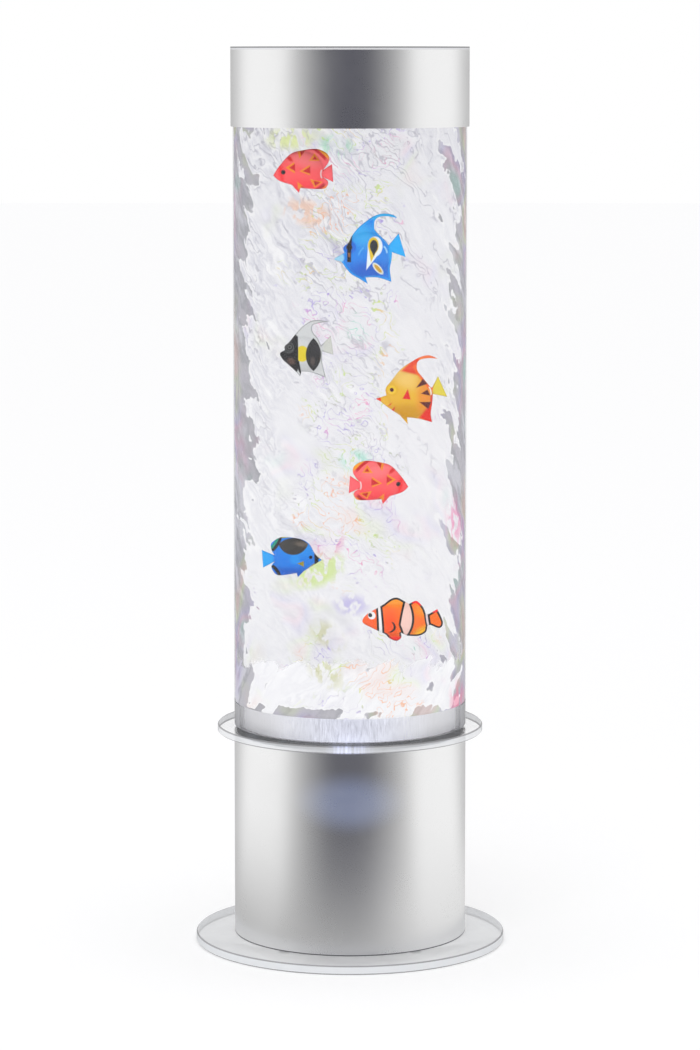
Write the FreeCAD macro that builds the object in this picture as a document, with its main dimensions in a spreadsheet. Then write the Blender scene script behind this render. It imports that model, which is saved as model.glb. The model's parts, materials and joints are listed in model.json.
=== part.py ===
"""Bubble tube floor lamp: a clear water tube with seven swimming toy fish on a round aluminium base.

Millimetres, +Z up, origin at the middle of the base plate's underside, front towards -Y.
"""
import FreeCAD, Part
import math
import os
import re
import Sketcher

# ---------------------------------------------------------------- driving sizes, in millimetres
SIZES = {
    # how far a cutting bar runs past the face that it opens
    "cut_past": 1,
    # outer stack, from the ground up
    "plate_radius": 103.75, "plate_thick": 6, "plate_edge": 0.8,
    "shell_radius": 77.75, "shell_wall": 1.5, "shell_tall": 136.5,
    "flange_radius": 89, "flange_thick": 5, "flange_edge": 0.8,
    "tube_radius": 77.75, "tube_wall": 3, "tube_tall": 448.5,
    "floor_thick": 4, "floor_fit": 0.05,
    "collar_tall": 11.5, "collar_wall": 1.5, "collar_clear": 0.2, "ledge_wide": 3, "ledge_thick": 1.5,
    "diffuser_drop": 2, "diffuser_thick": 2,
    # lift-off cap
    "skirt_clear": 0.45, "skirt_wall": 1, "skirt_drop": 50.5, "lid_thick": 2,
    "liner_rim": 2, "liner_deep": 10, "liner_wall": 5, "liner_clear": 0.4,
    "vent_radius": 1.5, "vent_ring": 58, "vent_count": 6,
    # chassis in the base
    "tray_thick": 3, "deck_thick": 3, "chassis_clear": 0.3, "pillar_radius": 4, "pillar_ring": 62,
    "deck_hole": 20, "hose_hole": 8, "flange_screw_ring": 56,
    "bolt_radius": 2, "bolt_long": 16, "bolt_head": 4, "bolt_cone": 2, "bolt_sunk": 0.4,
    "pan_head": 3.5, "pan_thick": 2.4, "flange_grip": 3.5,
    "small_radius": 1.25, "small_long": 6, "small_head": 2.5, "small_thick": 1.6,
    "vent_slot_wide": 3, "vent_slot_tall": 24, "vent_slot_level": 90, "vent_slot_pitch": 9,
    # light under the floor
    "led_board_radius": 62, "led_board_hole": 20, "board_thick": 1.6, "led_side": 5, "led_thick": 1.6,
    "led_ring": 48, "led_count": 12, "led_inner_ring": 30, "led_inner_count": 6, "led_screw_ring": 39,
    # air fitting and stone
    "stem_radius": 6, "stem_drop": 7, "fitting_head": 11, "fitting_head_tall": 3.5, "washer_thick": 1.5,
    "nut_flat": 10, "nut_tall": 4, "diffuser_hole": 14, "stone_radius": 30, "stone_tall": 10,
    "nipple_radius": 2, "nipple_long": 8, "air_bore": 1, "hose_wall": 1, "hose_bend": 12, "grip_gap": 1,
    # air pump
    "pump_x": 8, "pump_y": -8, "pump_long": 72, "pump_wide": 46, "pump_tall": 40, "pump_wall": 2,
    "pump_foot_radius": 5, "pump_foot_tall": 6, "pump_foot_inset": 2, "boss_radius": 3, "boss_bite": 1,
    "valve_side": 24, "valve_tall": 10, "valve_axis": 5, "valve_nipple": 21,
    "bellows_radius": 9, "bellows_waist": 7, "bellows_tall": 10, "bellows_wall": 1,
    "arm_from": -22, "arm_to": 16, "arm_wide": 10, "arm_thick": 3, "hub_radius": 4, "hub_wide": 13.4,
    "pin_radius": 1.5, "pin_clear": 0.05, "lug_clear": 0.3, "lug_thick": 3,
    "magnet_long": 6, "magnet_side": 8, "pole_gap": 1, "core_deep": 16, "core_long": 18, "core_back": 4,
    "core_leg": 5, "core_mid": 6, "core_window": 19, "coil_long": 11, "coil_wide": 26, "coil_tall": 17,
    "coil_gap": 0.8,
    # non-return valve in the air line
    "line_y": -51, "check_level": 70, "check_radius": 8, "check_half": 6, "flap_radius": 6,
    "flap_thick": 1, "line_level": 118,
    # control board, rear panel, inlet and buttons
    "board_setback": 37.75, "board_long": 64, "board_wide": 32, "board_boss": 6, "board_inset": 4,
    "panel_level": 36, "window_long": 50, "window_tall": 24, "panel_gap": 0.3, "panel_thick": 2.5,
    "panel_lap": 5, "panel_screw_long": 5,
    "inlet_long": 12, "inlet_tall": 11, "inlet_depth": 11.3, "inlet_barrel": 4, "inlet_bore": 3.2,
    "inlet_deep": 10, "inlet_pin_radius": 1.05, "inlet_pin_sunk": 1, "inlet_sunk": 0.35,
    "hole_clear": 0.15, "button_x": 16, "button_radius": 5, "button_proud": 1.25, "button_seat": 0.28,
    "button_collar": 6.2, "button_collar_thick": 1.5, "button_stem": 2, "button_stem_long": 2.4,
    "button_travel": 1.5, "travel_spare": 0.2, "switch_side": 6, "switch_thick": 3.5,
    "plunger_radius": 1.75, "plunger_long": 1.5, "switch_board_long": 48, "switch_board_tall": 22,
    "post_x": 20, "post_level": 27, "post_radius": 2.5, "post_bite": 1.7,
    # internal leads
    "lead_radius": 1, "lead_bend": 6, "lead_level": 108, "led_lead_x": 5.5, "led_lead_reach": 4,
    "pump_lead_rise": 12, "pump_lead_reach": 4, "inlet_lead_inset": 4,
    # parts on the control board: lead plugs, a relay, two capacitors and a chip
    "plug_side": 6, "plug_tall": 6, "led_plug_x": -20, "pump_plug_x": 10, "switch_plug_x": 16,
    "plug_row": 6, "relay_long": 14, "relay_wide": 10, "relay_tall": 11, "relay_x": -6,
    "capacitor_radius": 4, "capacitor_tall": 12, "capacitor_x": 21, "capacitor_row": 10,
    "chip_side": 8, "chip_thick": 1.5, "chip_x": -10, "chip_row": 8,
    # moulded fish: overall length and height, body thickness and fin thickness
    "fin_thick": 1.6,
    "coral_long": 39.2, "coral_tall": 28.6, "coral_thick": 10,
    "azure_long": 46.6, "azure_tall": 45.9, "azure_thick": 10,
    "banner_long": 35.4, "banner_tall": 38.2, "banner_thick": 9,
    "amber_long": 47.6, "amber_tall": 46, "amber_thick": 10,
    "saddle_long": 39.7, "saddle_tall": 26.8, "saddle_thick": 10,
    "clown_long": 53.4, "clown_tall": 28.9, "clown_thick": 10,
    # where each fish floats: across, its lane from front to back, and its height
    "upper_red_x": -30.5, "upper_red_y": -43, "upper_red_z": 519.2,
    "blue_angel_x": 13, "blue_angel_y": -52, "blue_angel_z": 469,
    "banner_fish_x": -28.7, "banner_fish_y": -17, "banner_fish_z": 400.7,
    "yellow_angel_x": 40.8, "yellow_angel_y": -14, "yellow_angel_z": 373.2,
    "lower_red_x": 18.8, "lower_red_y": -39.5, "lower_red_z": 314.3,
    "blue_saddle_x": -38.5, "blue_saddle_y": -30, "blue_saddle_z": 263.4,
    "clownfish_x": 35, "clownfish_y": -27, "clownfish_z": 221.3,
}

doc = FreeCAD.newDocument("BubbleTubeLamp")
sheet = doc.addObject("Spreadsheet::Sheet", "Sizes")
for row, (alias, number) in enumerate(SIZES.items(), start=1):
    sheet.set("A%d" % row, alias)
    sheet.set("B%d" % row, str(number))
    sheet.setAlias("B%d" % row, alias)
doc.recompute()

NODES = {}
TURNS = {"Z": ((0, 0, 1), 0), "Y": ((1, 0, 0), -90)}
SIDES = (-1, 1)


# ---------------------------------------------------------------- helpers
def bound(text):
    """The expression with each size name pointed at its cell."""
    return re.sub(r"[a-z_]+", lambda word: "Sizes." + word[0] if word[0] in SIZES else word[0], str(text))


def value(text):
    """The number that an expression over the sizes gives now."""
    return float(sheet.evalExpression(bound(text)))


def total(*terms):
    """A bracketed sum of expressions."""
    return "(" + " + ".join(str(term) for term in terms) + ")"


def less(first, *rest):
    """A bracketed difference of expressions."""
    return "(%s" % first + "".join(" - (%s)" % term for term in rest) + ")"


def place(thing, x, y, z):
    """Binds where a thing stands."""
    for axis, text in zip("xyz", (x, y, z)):
        thing.setExpression("Placement.Base." + axis, bound(text))
    return thing


def rod(radius, length, x="0", y="0", z="0", along="Z"):
    """A round bar that starts at a point and runs along an axis."""
    bar = doc.addObject("Part::Cylinder", "Rod")
    bar.setExpression("Radius", bound(radius))
    bar.setExpression("Height", bound(length))
    axis, angle = TURNS[along]
    bar.Placement.Rotation = FreeCAD.Rotation(FreeCAD.Vector(*axis), angle)
    return place(bar, x, y, z)


def rods(radius, length, spots, z):
    """Upright bars at several places."""
    return [rod(radius, length, x, y, z) for x, y in spots]


def taper(first, last, length, x="0", y="0", z="0"):
    """An upright cone frustum."""
    cone = doc.addObject("Part::Cone", "Taper")
    cone.setExpression("Radius1", bound(first))
    cone.setExpression("Radius2", bound(last))
    cone.setExpression("Height", bound(length))
    return place(cone, x, y, z)


def block(long, wide, tall, x="0", y="0", z="0"):
    """A box centred on x and y that stands on z."""
    box = doc.addObject("Part::Box", "Block")
    for side, text in zip(("Length", "Width", "Height"), (long, wide, tall)):
        box.setExpression(side, bound(text))
    return place(box, less(x, "(%s) / 2" % long), less(y, "(%s) / 2" % wide), z)


def joined(*pieces):
    """The pieces fused into one solid."""
    whole = doc.addObject("Part::MultiFuse", "Joined")
    whole.Shapes = list(pieces)
    return whole


def grouped(pieces):
    """Separate solids that share one node."""
    group = doc.addObject("Part::Compound", "Group")
    group.Links = list(pieces)
    return group


def cut(base, *tools):
    """The base with the tools taken out of it."""
    result = doc.addObject("Part::Cut", "Cut")
    result.Base = base
    result.Tool = tools[0] if len(tools) == 1 else joined(*tools)
    return result


def common(first, second):
    """What two solids share."""
    result = doc.addObject("Part::MultiCommon", "Common")
    result.Shapes = [first, second]
    return result


def node(label, thing):
    """Names a finished piece."""
    thing.Label = label
    NODES[label] = thing
    return thing


def outline(sketch, corners):
    """Closes straight edges through corners that are bound to the sheet."""
    points = [FreeCAD.Vector(value(across), value(up), 0) for across, up in corners]
    for first, last in zip(points, points[1:] + points[:1]):
        sketch.addGeometry(Part.LineSegment(first, last))
    count = len(points)
    for edge in range(count):
        sketch.addConstraint(Sketcher.Constraint("Coincident", edge, 2, (edge + 1) % count, 1))
    for edge, (across, up) in enumerate(corners):
        for kind, text, number in (("DistanceX", across, points[edge].x), ("DistanceY", up, points[edge].y)):
            tie = sketch.addConstraint(Sketcher.Constraint(kind, -1, 1, edge, 1, number))
            sketch.setExpression("Constraints[%d]" % tie, bound(text))


def turned(corners, x="0", y="0"):
    """A body revolved about an upright axis through x and y; corners are (radius, height)."""
    body = doc.addObject("PartDesign::Body", "Turned")
    profile = body.newObject("Sketcher::SketchObject", "Profile")
    plane = next(item for item in body.Origin.OriginFeatures if item.Role == "XZ_Plane")
    profile.AttachmentSupport = [(plane, "")]
    profile.MapMode = "FlatFace"
    outline(profile, corners)
    revolution = body.newObject("PartDesign::Revolution", "Revolution")
    revolution.Profile = profile
    revolution.ReferenceAxis = (profile, ["V_Axis"])
    revolution.Angle = 360
    return place(body, x, y, "0")


def ring(inner, outer, low, high):
    """A turned ring or, with an inner radius of 0, a disc."""
    return turned([(inner, low), (outer, low), (outer, high), (inner, high)])


def edged_disc(radius, low, thick, edge):
    """A disc with a small bevel on both rims."""
    high = total(low, thick)
    return turned([("0", low), (less(radius, edge), low), (radius, total(low, edge)),
                   (radius, less(high, edge)), (less(radius, edge), high), ("0", high)])


def around(radius, count, start):
    """Places on a circle, as (x, y) expressions."""
    angles = [start + 360 * step / count for step in range(count)]
    return [("(%s) * cos(%s)" % (radius, angle), "(%s) * sin(%s)" % (radius, angle)) for angle in angles]


def corners_about(x, y, half_x, half_y):
    """The four corners of a rectangle, as (x, y) expressions."""
    return [(total(x, "(%d) * (%s)" % (side, half_x)), total(y, "(%d) * (%s)" % (end, half_y)))
            for side in SIDES for end in SIDES]


def small_screw(x, y, z):
    """A small pan-head screw, head up, whose head sits on z."""
    head = rod("small_head", "small_thick", x, y, z)
    return joined(head, rod("small_radius", "small_long", x, y, less(z, "small_long")))


def tube_along(points, radius, bore, bend):
    """A round tube along straight runs joined by tangent arcs; bore 0 makes it solid."""
    route = [FreeCAD.Vector(*(value(part) for part in point)) for point in points]
    edges, last = [], route[0]
    for before, corner, after in zip(route, route[1:], route[2:]):
        enter = (before - corner).normalize()
        leave = (after - corner).normalize()
        half_turn = enter.getAngle(leave) / 2
        setback = value(bend) / math.tan(half_turn)
        middle = corner + (enter + leave).normalize() * (value(bend) / math.sin(half_turn) - value(bend))
        start, end = corner + enter * setback, corner + leave * setback
        edges.append(Part.LineSegment(last, start).toShape())
        edges.append(Part.Arc(start, middle, end).toShape())
        last = end
    edges.append(Part.LineSegment(last, route[-1]).toShape())
    path = Part.Wire(edges)

    def swept(size):
        circle = Part.Circle(route[0], route[1] - route[0], size)
        return path.makePipeShell([Part.Wire(circle.toShape())], True, False)

    shape = swept(value(radius))
    if value(bore):
        shape = shape.cut(swept(value(bore)))
    tube = doc.addObject("Part::Feature", "Tube")
    tube.Shape = shape
    return tube


# ---------------------------------------------------------------- levels and radii that follow from the sizes
SHELL_BASE = "plate_thick"
TRAY_TOP = total("plate_thick", "tray_thick")
FLANGE_BASE = total("plate_thick", "shell_tall")
DECK_BASE = less(FLANGE_BASE, "deck_thick")
TUBE_BASE = total(FLANGE_BASE, "flange_thick")
FLOOR_BASE = total(TUBE_BASE, "collar_tall")
FLOOR_TOP = total(FLOOR_BASE, "floor_thick")
TUBE_TOP = total(TUBE_BASE, "tube_tall")
LID_BASE = total(TUBE_TOP, "liner_rim")
LID_TOP = total(LID_BASE, "lid_thick")
SHELL_BORE = less("shell_radius", "shell_wall")
CHASSIS_RADIUS = less(SHELL_BORE, "chassis_clear")
TUBE_BORE = less("tube_radius", "tube_wall")
SKIRT_BORE = total("tube_radius", "skirt_clear")
PILLARS = around("pillar_ring", 4, 45)
FLANGE_SCREWS = around("flange_screw_ring", 4, 0)
LED_SCREWS = around("led_screw_ring", 3, 90)
BOARD_Y = less("shell_radius", "board_setback")
BOARD_SCREWS = corners_about("0", BOARD_Y, less("board_long / 2", "board_inset"),
                             less("board_wide / 2", "board_inset"))
BOARD_BASE = total(TRAY_TOP, "board_boss")
BOARD_TOP = total(BOARD_BASE, "board_thick")


# ---------------------------------------------------------------- base: plate, shell and chassis
def bolt(x, y, z, points_up):
    """A countersunk chassis screw whose flat head face lies at z."""
    if points_up:
        cone = taper("bolt_head", "bolt_radius", "bolt_cone", x, y, z)
        shank = rod("bolt_radius", "bolt_long", x, y, z)
    else:
        cone = taper("bolt_radius", "bolt_head", "bolt_cone", x, y, less(z, "bolt_cone"))
        shank = rod("bolt_radius", "bolt_long", x, y, less(z, "bolt_long"))
    return joined(cone, shank)


def sunk_hole(x, y, low, high, face, points_up):
    """What a chassis screw takes out of a sheet, open past the face that its head enters."""
    if points_up:
        cone = taper("bolt_head", "bolt_radius", "bolt_cone", x, y, face)
        mouth = rod("bolt_head", less(face, low), x, y, low)
    else:
        cone = taper("bolt_radius", "bolt_head", "bolt_cone", x, y, less(face, "bolt_cone"))
        mouth = rod("bolt_head", less(high, face), x, y, face)
    return joined(cone, mouth, rod("bolt_radius", less(high, low), x, y, low))


def base_pieces():
    """The clear plate, the aluminium shell with its rear window, and the frame inside."""
    plate = edged_disc("plate_radius", "0", "plate_thick", "plate_edge")
    plate_holes = [sunk_hole(x, y, "0", "plate_thick", "bolt_sunk", True) for x, y in PILLARS]
    node("base_plate", cut(plate, *plate_holes))

    shell = ring(SHELL_BORE, "shell_radius", SHELL_BASE, FLANGE_BASE)
    window = block("window_long", "shell_radius", "window_tall", "0", "shell_radius",
                   less("panel_level", "window_tall / 2"))
    slots = [block("vent_slot_wide", "shell_radius", "vent_slot_tall", "%d * vent_slot_pitch" % step,
                   "shell_radius", "vent_slot_level") for step in (-2, -1, 0, 1, 2)]
    shell_holes = [radial_rod("small_radius", "shell_wall * 4", less("shell_radius", "shell_wall * 2"), side)
                   for side in SIDES]
    node("base_shell", cut(shell, window, *slots, *shell_holes))

    tray = ring("0", CHASSIS_RADIUS, SHELL_BASE, TRAY_TOP)
    bosses = rods("boss_radius", "board_boss + tray_thick", BOARD_SCREWS, SHELL_BASE)
    tray_holes = rods("bolt_radius", "tray_thick", PILLARS, SHELL_BASE)
    boss_holes = rods("small_radius", "small_long", BOARD_SCREWS, less(BOARD_TOP, "small_long"))
    node("base_tray", cut(joined(tray, *bosses), *tray_holes, *boss_holes))

    upper_face = less(FLANGE_BASE, "bolt_sunk")
    pillars = []
    for x, y in PILLARS:
        post = rod("pillar_radius", less(DECK_BASE, TRAY_TOP), x, y, TRAY_TOP)
        lower = rod("bolt_radius", "bolt_long", x, y, "bolt_sunk")
        upper = rod("bolt_radius", "bolt_long", x, y, less(upper_face, "bolt_long"))
        pillars.append(cut(post, lower, upper))
    node("pillars", grouped(pillars))

    bolts = [bolt(x, y, "bolt_sunk", True) for x, y in PILLARS]
    bolts += [bolt(x, y, upper_face, False) for x, y in PILLARS]
    node("chassis_screws", grouped(bolts))

    deck = ring("deck_hole", CHASSIS_RADIUS, DECK_BASE, FLANGE_BASE)
    deck_holes = [sunk_hole(x, y, DECK_BASE, FLANGE_BASE, upper_face, False) for x, y in PILLARS]
    deck_holes += rods("bolt_radius", "deck_thick", FLANGE_SCREWS, DECK_BASE)
    node("deck_plate", cut(deck, *deck_holes))

    pans = [joined(rod("pan_head", "pan_thick", x, y, less(DECK_BASE, "pan_thick")),
                   rod("bolt_radius", "deck_thick + flange_grip", x, y, DECK_BASE)) for x, y in FLANGE_SCREWS]
    node("flange_screws", grouped(pans))


def radial_rod(radius, length, start, side):
    """A bar that points out of the shell beside the rear window, at the panel's level."""
    across = "((window_long + panel_lap) / 2 / shell_radius)"
    bar = rod(radius, length)
    angle = 90 - side * math.degrees(math.asin(value(across)))
    upright = FreeCAD.Rotation(FreeCAD.Vector(0, 1, 0), 90)
    bar.Placement.Rotation = FreeCAD.Rotation(FreeCAD.Vector(0, 0, 1), angle) * upright
    return place(bar, "(%s) * %d * %s" % (start, side, across), "(%s) * sqrt(1 - %s ^ 2)" % (start, across),
                 "panel_level")


# ---------------------------------------------------------------- tube, flange and the light under the floor
def tube_pieces():
    """The water tube on its clear flange, with the silver collar that hides the light."""
    flange = edged_disc("flange_radius", FLANGE_BASE, "flange_thick", "flange_edge")
    flange_holes = [rod("hose_hole", "flange_thick", "0", "0", FLANGE_BASE)]
    flange_holes += rods("bolt_radius", "flange_grip", FLANGE_SCREWS, FLANGE_BASE)
    led_board_top = total(TUBE_BASE, "board_thick")
    flange_holes += rods("small_radius", "small_long", LED_SCREWS, less(led_board_top, "small_long"))
    node("flange_disc", cut(flange, *flange_holes))

    node("water_tube", ring(TUBE_BORE, "tube_radius", TUBE_BASE, TUBE_TOP))

    collar_radius = less(TUBE_BORE, "collar_clear")
    collar_bore = less(collar_radius, "collar_wall")
    diffuser_top = less(FLOOR_BASE, "diffuser_drop")
    diffuser_base = less(diffuser_top, "diffuser_thick")
    ledge_base = less(diffuser_base, "ledge_thick")
    ledge_bore = less(collar_bore, "ledge_wide")
    node("collar_ring", turned([
        (collar_bore, TUBE_BASE), (collar_radius, TUBE_BASE), (collar_radius, FLOOR_BASE),
        (collar_bore, FLOOR_BASE), (collar_bore, diffuser_base), (ledge_bore, diffuser_base),
        (ledge_bore, ledge_base), (collar_bore, ledge_base)]))
    diffuser_radius = less(collar_bore, "collar_clear")
    node("diffuser_disc", ring("diffuser_hole", diffuser_radius, diffuser_base, diffuser_top))
    node("tube_floor", ring("stem_radius", less(TUBE_BORE, "floor_fit"), FLOOR_BASE, FLOOR_TOP))

    led_board = ring("led_board_hole", "led_board_radius", TUBE_BASE, led_board_top)
    node("led_board", cut(led_board, *rods("small_radius", "board_thick", LED_SCREWS, TUBE_BASE)))
    spots = around("led_ring", int(value("led_count")), 15)
    spots += around("led_inner_ring", int(value("led_inner_count")), 0)
    node("leds", grouped([block("led_side", "led_side", "led_thick", x, y, led_board_top) for x, y in spots]))
    return [small_screw(x, y, led_board_top) for x, y in LED_SCREWS]


def air_fitting_pieces():
    """The fitting through the tube floor, its seal and nut, and the air stone on top."""
    head_base = total(FLOOR_TOP, "washer_thick")
    head_top = total(head_base, "fitting_head_tall")
    stem_base = less(FLOOR_BASE, "stem_drop")
    head = rod("fitting_head", "fitting_head_tall", "0", "0", head_base)
    stem = rod("stem_radius", less(head_base, stem_base), "0", "0", stem_base)
    upper = rod("nipple_radius", "nipple_long", "0", "0", head_top)
    lower = rod("nipple_radius", "nipple_long", "0", "0", less(stem_base, "nipple_long"))
    bore_base = less(stem_base, "nipple_long")
    bore = rod("air_bore", less(total(head_top, "nipple_long"), bore_base), "0", "0", bore_base)
    node("floor_fitting", cut(joined(head, stem, upper, lower), bore))
    node("floor_washer", ring("stem_radius", "fitting_head", FLOOR_TOP, head_base))
    nut = doc.addObject("Part::Prism", "Hexagon")
    nut.Polygon = 6
    nut.setExpression("Circumradius", bound("nut_flat"))
    nut.setExpression("Height", bound("nut_tall"))
    place(nut, "0", "0", less(FLOOR_BASE, "nut_tall"))
    node("fitting_nut", cut(nut, rod("stem_radius", "nut_tall", "0", "0", less(FLOOR_BASE, "nut_tall"))))
    stone = rod("stone_radius", "stone_tall", "0", "0", head_top)
    node("air_stone", cut(stone, rod("nipple_radius", "nipple_long", "0", "0", head_top)))


# ---------------------------------------------------------------- lift-off cap
def cap_pieces():
    """The aluminium skirt, its lid, and the liner that centres them in the tube."""
    skirt_radius = total(SKIRT_BORE, "skirt_wall")
    node("cap_skirt", ring(SKIRT_BORE, skirt_radius, less(LID_BASE, "skirt_drop"), LID_BASE))
    spigot = less(TUBE_BORE, "liner_clear")
    throat = less(spigot, "liner_wall")
    rim = less(SKIRT_BORE, "floor_fit")
    liner_base = less(TUBE_TOP, "liner_deep")
    spots = around(less(spigot, "liner_wall / 2"), 4, 45)
    liner = turned([(throat, liner_base), (spigot, liner_base), (spigot, TUBE_TOP),
                    (rim, TUBE_TOP), (rim, LID_BASE), (throat, LID_BASE)])
    screw_base = less(LID_TOP, "small_long + small_thick")
    node("cap_liner", cut(liner, *rods("small_radius", "small_long", spots, screw_base)))
    lid = ring("0", skirt_radius, LID_BASE, LID_TOP)
    cone_base = less(LID_TOP, "small_thick")
    vents = around("vent_ring", int(value("vent_count")), 0)
    lid_holes = rods("vent_radius", "lid_thick", vents, LID_BASE)
    lid_holes += [taper("small_radius", "small_head", "small_thick", x, y, cone_base) for x, y in spots]
    lid_holes += rods("small_radius", "lid_thick", spots, LID_BASE)
    node("cap_lid", cut(lid, *lid_holes))
    node("lid_screws", grouped([joined(
        taper("small_radius", "small_head", "small_thick", x, y, cone_base),
        rod("small_radius", "small_long", x, y, screw_base)) for x, y in spots]))


# ---------------------------------------------------------------- air pump and air line
PUMP_BASE = total(TRAY_TOP, "pump_foot_tall")
PUMP_INSIDE = total(PUMP_BASE, "pump_wall")
PUMP_TOP = total(PUMP_BASE, "pump_tall")
VALVE_TOP = total(PUMP_INSIDE, "valve_tall")
ARM_BASE = total(VALVE_TOP, "bellows_tall")
ARM_AXIS = total(ARM_BASE, "arm_thick / 2")
NOZZLE_LEVEL = total(PUMP_INSIDE, "valve_axis")
NOZZLE_TIP = less("pump_y", "valve_side / 2", "valve_nipple")
CHECK_TOP = total("check_level", "2 * check_half")


def pump_pieces():
    """A diaphragm air pump: a magnet on a rocking arm works the bellows over the valve block."""
    boss_in = "pump_wall + boss_radius - boss_bite"
    bosses = corners_about("pump_x", "pump_y", less("pump_long / 2", boss_in), less("pump_wide / 2", boss_in))
    core_front = total("arm_to", "magnet_long", "pole_gap")
    core_tall = "(2 * core_leg + core_window)"
    core_base = less(ARM_AXIS, core_tall + " / 2")
    core_x = total(core_front, "core_long / 2")
    box = block("pump_long", "pump_wide", "pump_tall", "pump_x", "pump_y", PUMP_BASE)
    room = block("pump_long - 2 * pump_wall", "pump_wide - 2 * pump_wall", "pump_tall", "pump_x", "pump_y",
                 PUMP_INSIDE)
    columns = rods("boss_radius", less(PUMP_TOP, PUMP_BASE), bosses, PUMP_BASE)
    rib = block("core_long", "core_deep", less(core_base, PUMP_BASE), core_x, "pump_y", PUMP_BASE)
    lug_y = [total("pump_y", "(%d) * (hub_wide / 2 + lug_clear + lug_thick / 2)" % side) for side in SIDES]
    lug_tall = less(total(ARM_AXIS, "hub_radius"), PUMP_BASE)
    lugs = [block("2 * hub_radius", "lug_thick", lug_tall, "arm_from", y, PUMP_BASE) for y in lug_y]
    pin_long = "(hub_wide + 2 * lug_clear + 2 * lug_thick)"
    pin_start = less("pump_y", pin_long + " / 2")
    nozzle_hole = rod("nipple_radius + collar_clear", "pump_wide / 2", "0",
                      less("pump_y", "pump_wide / 2 + cut_past"), NOZZLE_LEVEL, "Y")
    screw_holes = rods("small_radius", "small_long", bosses, less(PUMP_TOP, "small_long - pump_wall"))
    pin_hole = rod("pin_radius", pin_long, "arm_from", pin_start, ARM_AXIS, "Y")
    case = joined(cut(box, room), *columns, rib, *lugs)
    node("pump_case", cut(case, nozzle_hole, *screw_holes, pin_hole))
    cover = block("pump_long", "pump_wide", "pump_wall", "pump_x", "pump_y", PUMP_TOP)
    node("pump_cover", cut(cover, *rods("small_radius", "pump_wall", bosses, PUMP_TOP)))
    node("pump_screws", grouped([small_screw(x, y, total(PUMP_TOP, "pump_wall")) for x, y in bosses]))
    foot_in = "pump_foot_radius + pump_foot_inset"
    feet = corners_about("pump_x", "pump_y", less("pump_long / 2", foot_in), less("pump_wide / 2", foot_in))
    node("pump_feet", grouped(rods("pump_foot_radius", "pump_foot_tall", feet, TRAY_TOP)))

    valve = block("valve_side", "valve_side", "valve_tall", "0", "pump_y", PUMP_INSIDE)
    nozzle = rod("nipple_radius", less("pump_y", NOZZLE_TIP), "0", NOZZLE_TIP, NOZZLE_LEVEL, "Y")
    bore = rod("air_bore", less("pump_y", NOZZLE_TIP), "0", NOZZLE_TIP, NOZZLE_LEVEL, "Y")
    port = rod("air_bore", less(VALVE_TOP, NOZZLE_LEVEL), "0", "pump_y", NOZZLE_LEVEL)
    node("valve_block", cut(joined(valve, nozzle), bore, port))

    middle = total(VALVE_TOP, "bellows_tall / 2")
    inside = less(ARM_BASE, "bellows_wall")
    foot_bore = less("bellows_radius", "bellows_wall")
    node("diaphragm", turned([
        (foot_bore, VALVE_TOP), ("bellows_radius", VALVE_TOP), ("bellows_waist", middle),
        ("bellows_radius", ARM_BASE), ("0", ARM_BASE), ("0", inside), (less(foot_bore, "bellows_wall"), inside),
        (less("bellows_waist", "bellows_wall"), middle)], "0", "pump_y"))

    arm_long = less("arm_to", "arm_from")
    strip = block(arm_long, "arm_wide", "arm_thick", total("arm_from", arm_long + " / 2"), "pump_y", ARM_BASE)
    hub = rod("hub_radius", "hub_wide", "arm_from", less("pump_y", "hub_wide / 2"), ARM_AXIS, "Y")
    eye = rod("pin_radius + pin_clear", "hub_wide", "arm_from", less("pump_y", "hub_wide / 2"), ARM_AXIS, "Y")
    node("pump_arm", cut(joined(strip, hub), eye))
    node("arm_pin", rod("pin_radius", pin_long, "arm_from", pin_start, ARM_AXIS, "Y"))
    node("arm_magnet", block("magnet_long", "magnet_side", "magnet_side", total("arm_to", "magnet_long / 2"),
                             "pump_y", less(ARM_AXIS, "magnet_side / 2")))

    core_end = total(core_front, "core_long")
    back = block("core_back", "core_deep", core_tall, less(core_end, "core_back / 2"), "pump_y", core_base)
    legs = [block("core_long", "core_deep", tall, core_x, "pump_y", low) for tall, low in (
        ("core_leg", core_base), ("core_mid", less(ARM_AXIS, "core_mid / 2")),
        ("core_leg", total(core_base, core_tall, "-core_leg")))]
    node("coil_core", joined(back, *legs))
    coil_x = less(core_end, "core_back", "coil_long / 2", "coil_gap")
    coil = block("coil_long", "coil_wide", "coil_tall", coil_x, "pump_y", less(ARM_AXIS, "coil_tall / 2"))
    hole = block("coil_long", "core_deep", "core_mid", coil_x, "pump_y", less(ARM_AXIS, "core_mid / 2"))
    node("coil_winding", cut(coil, hole))


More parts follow.
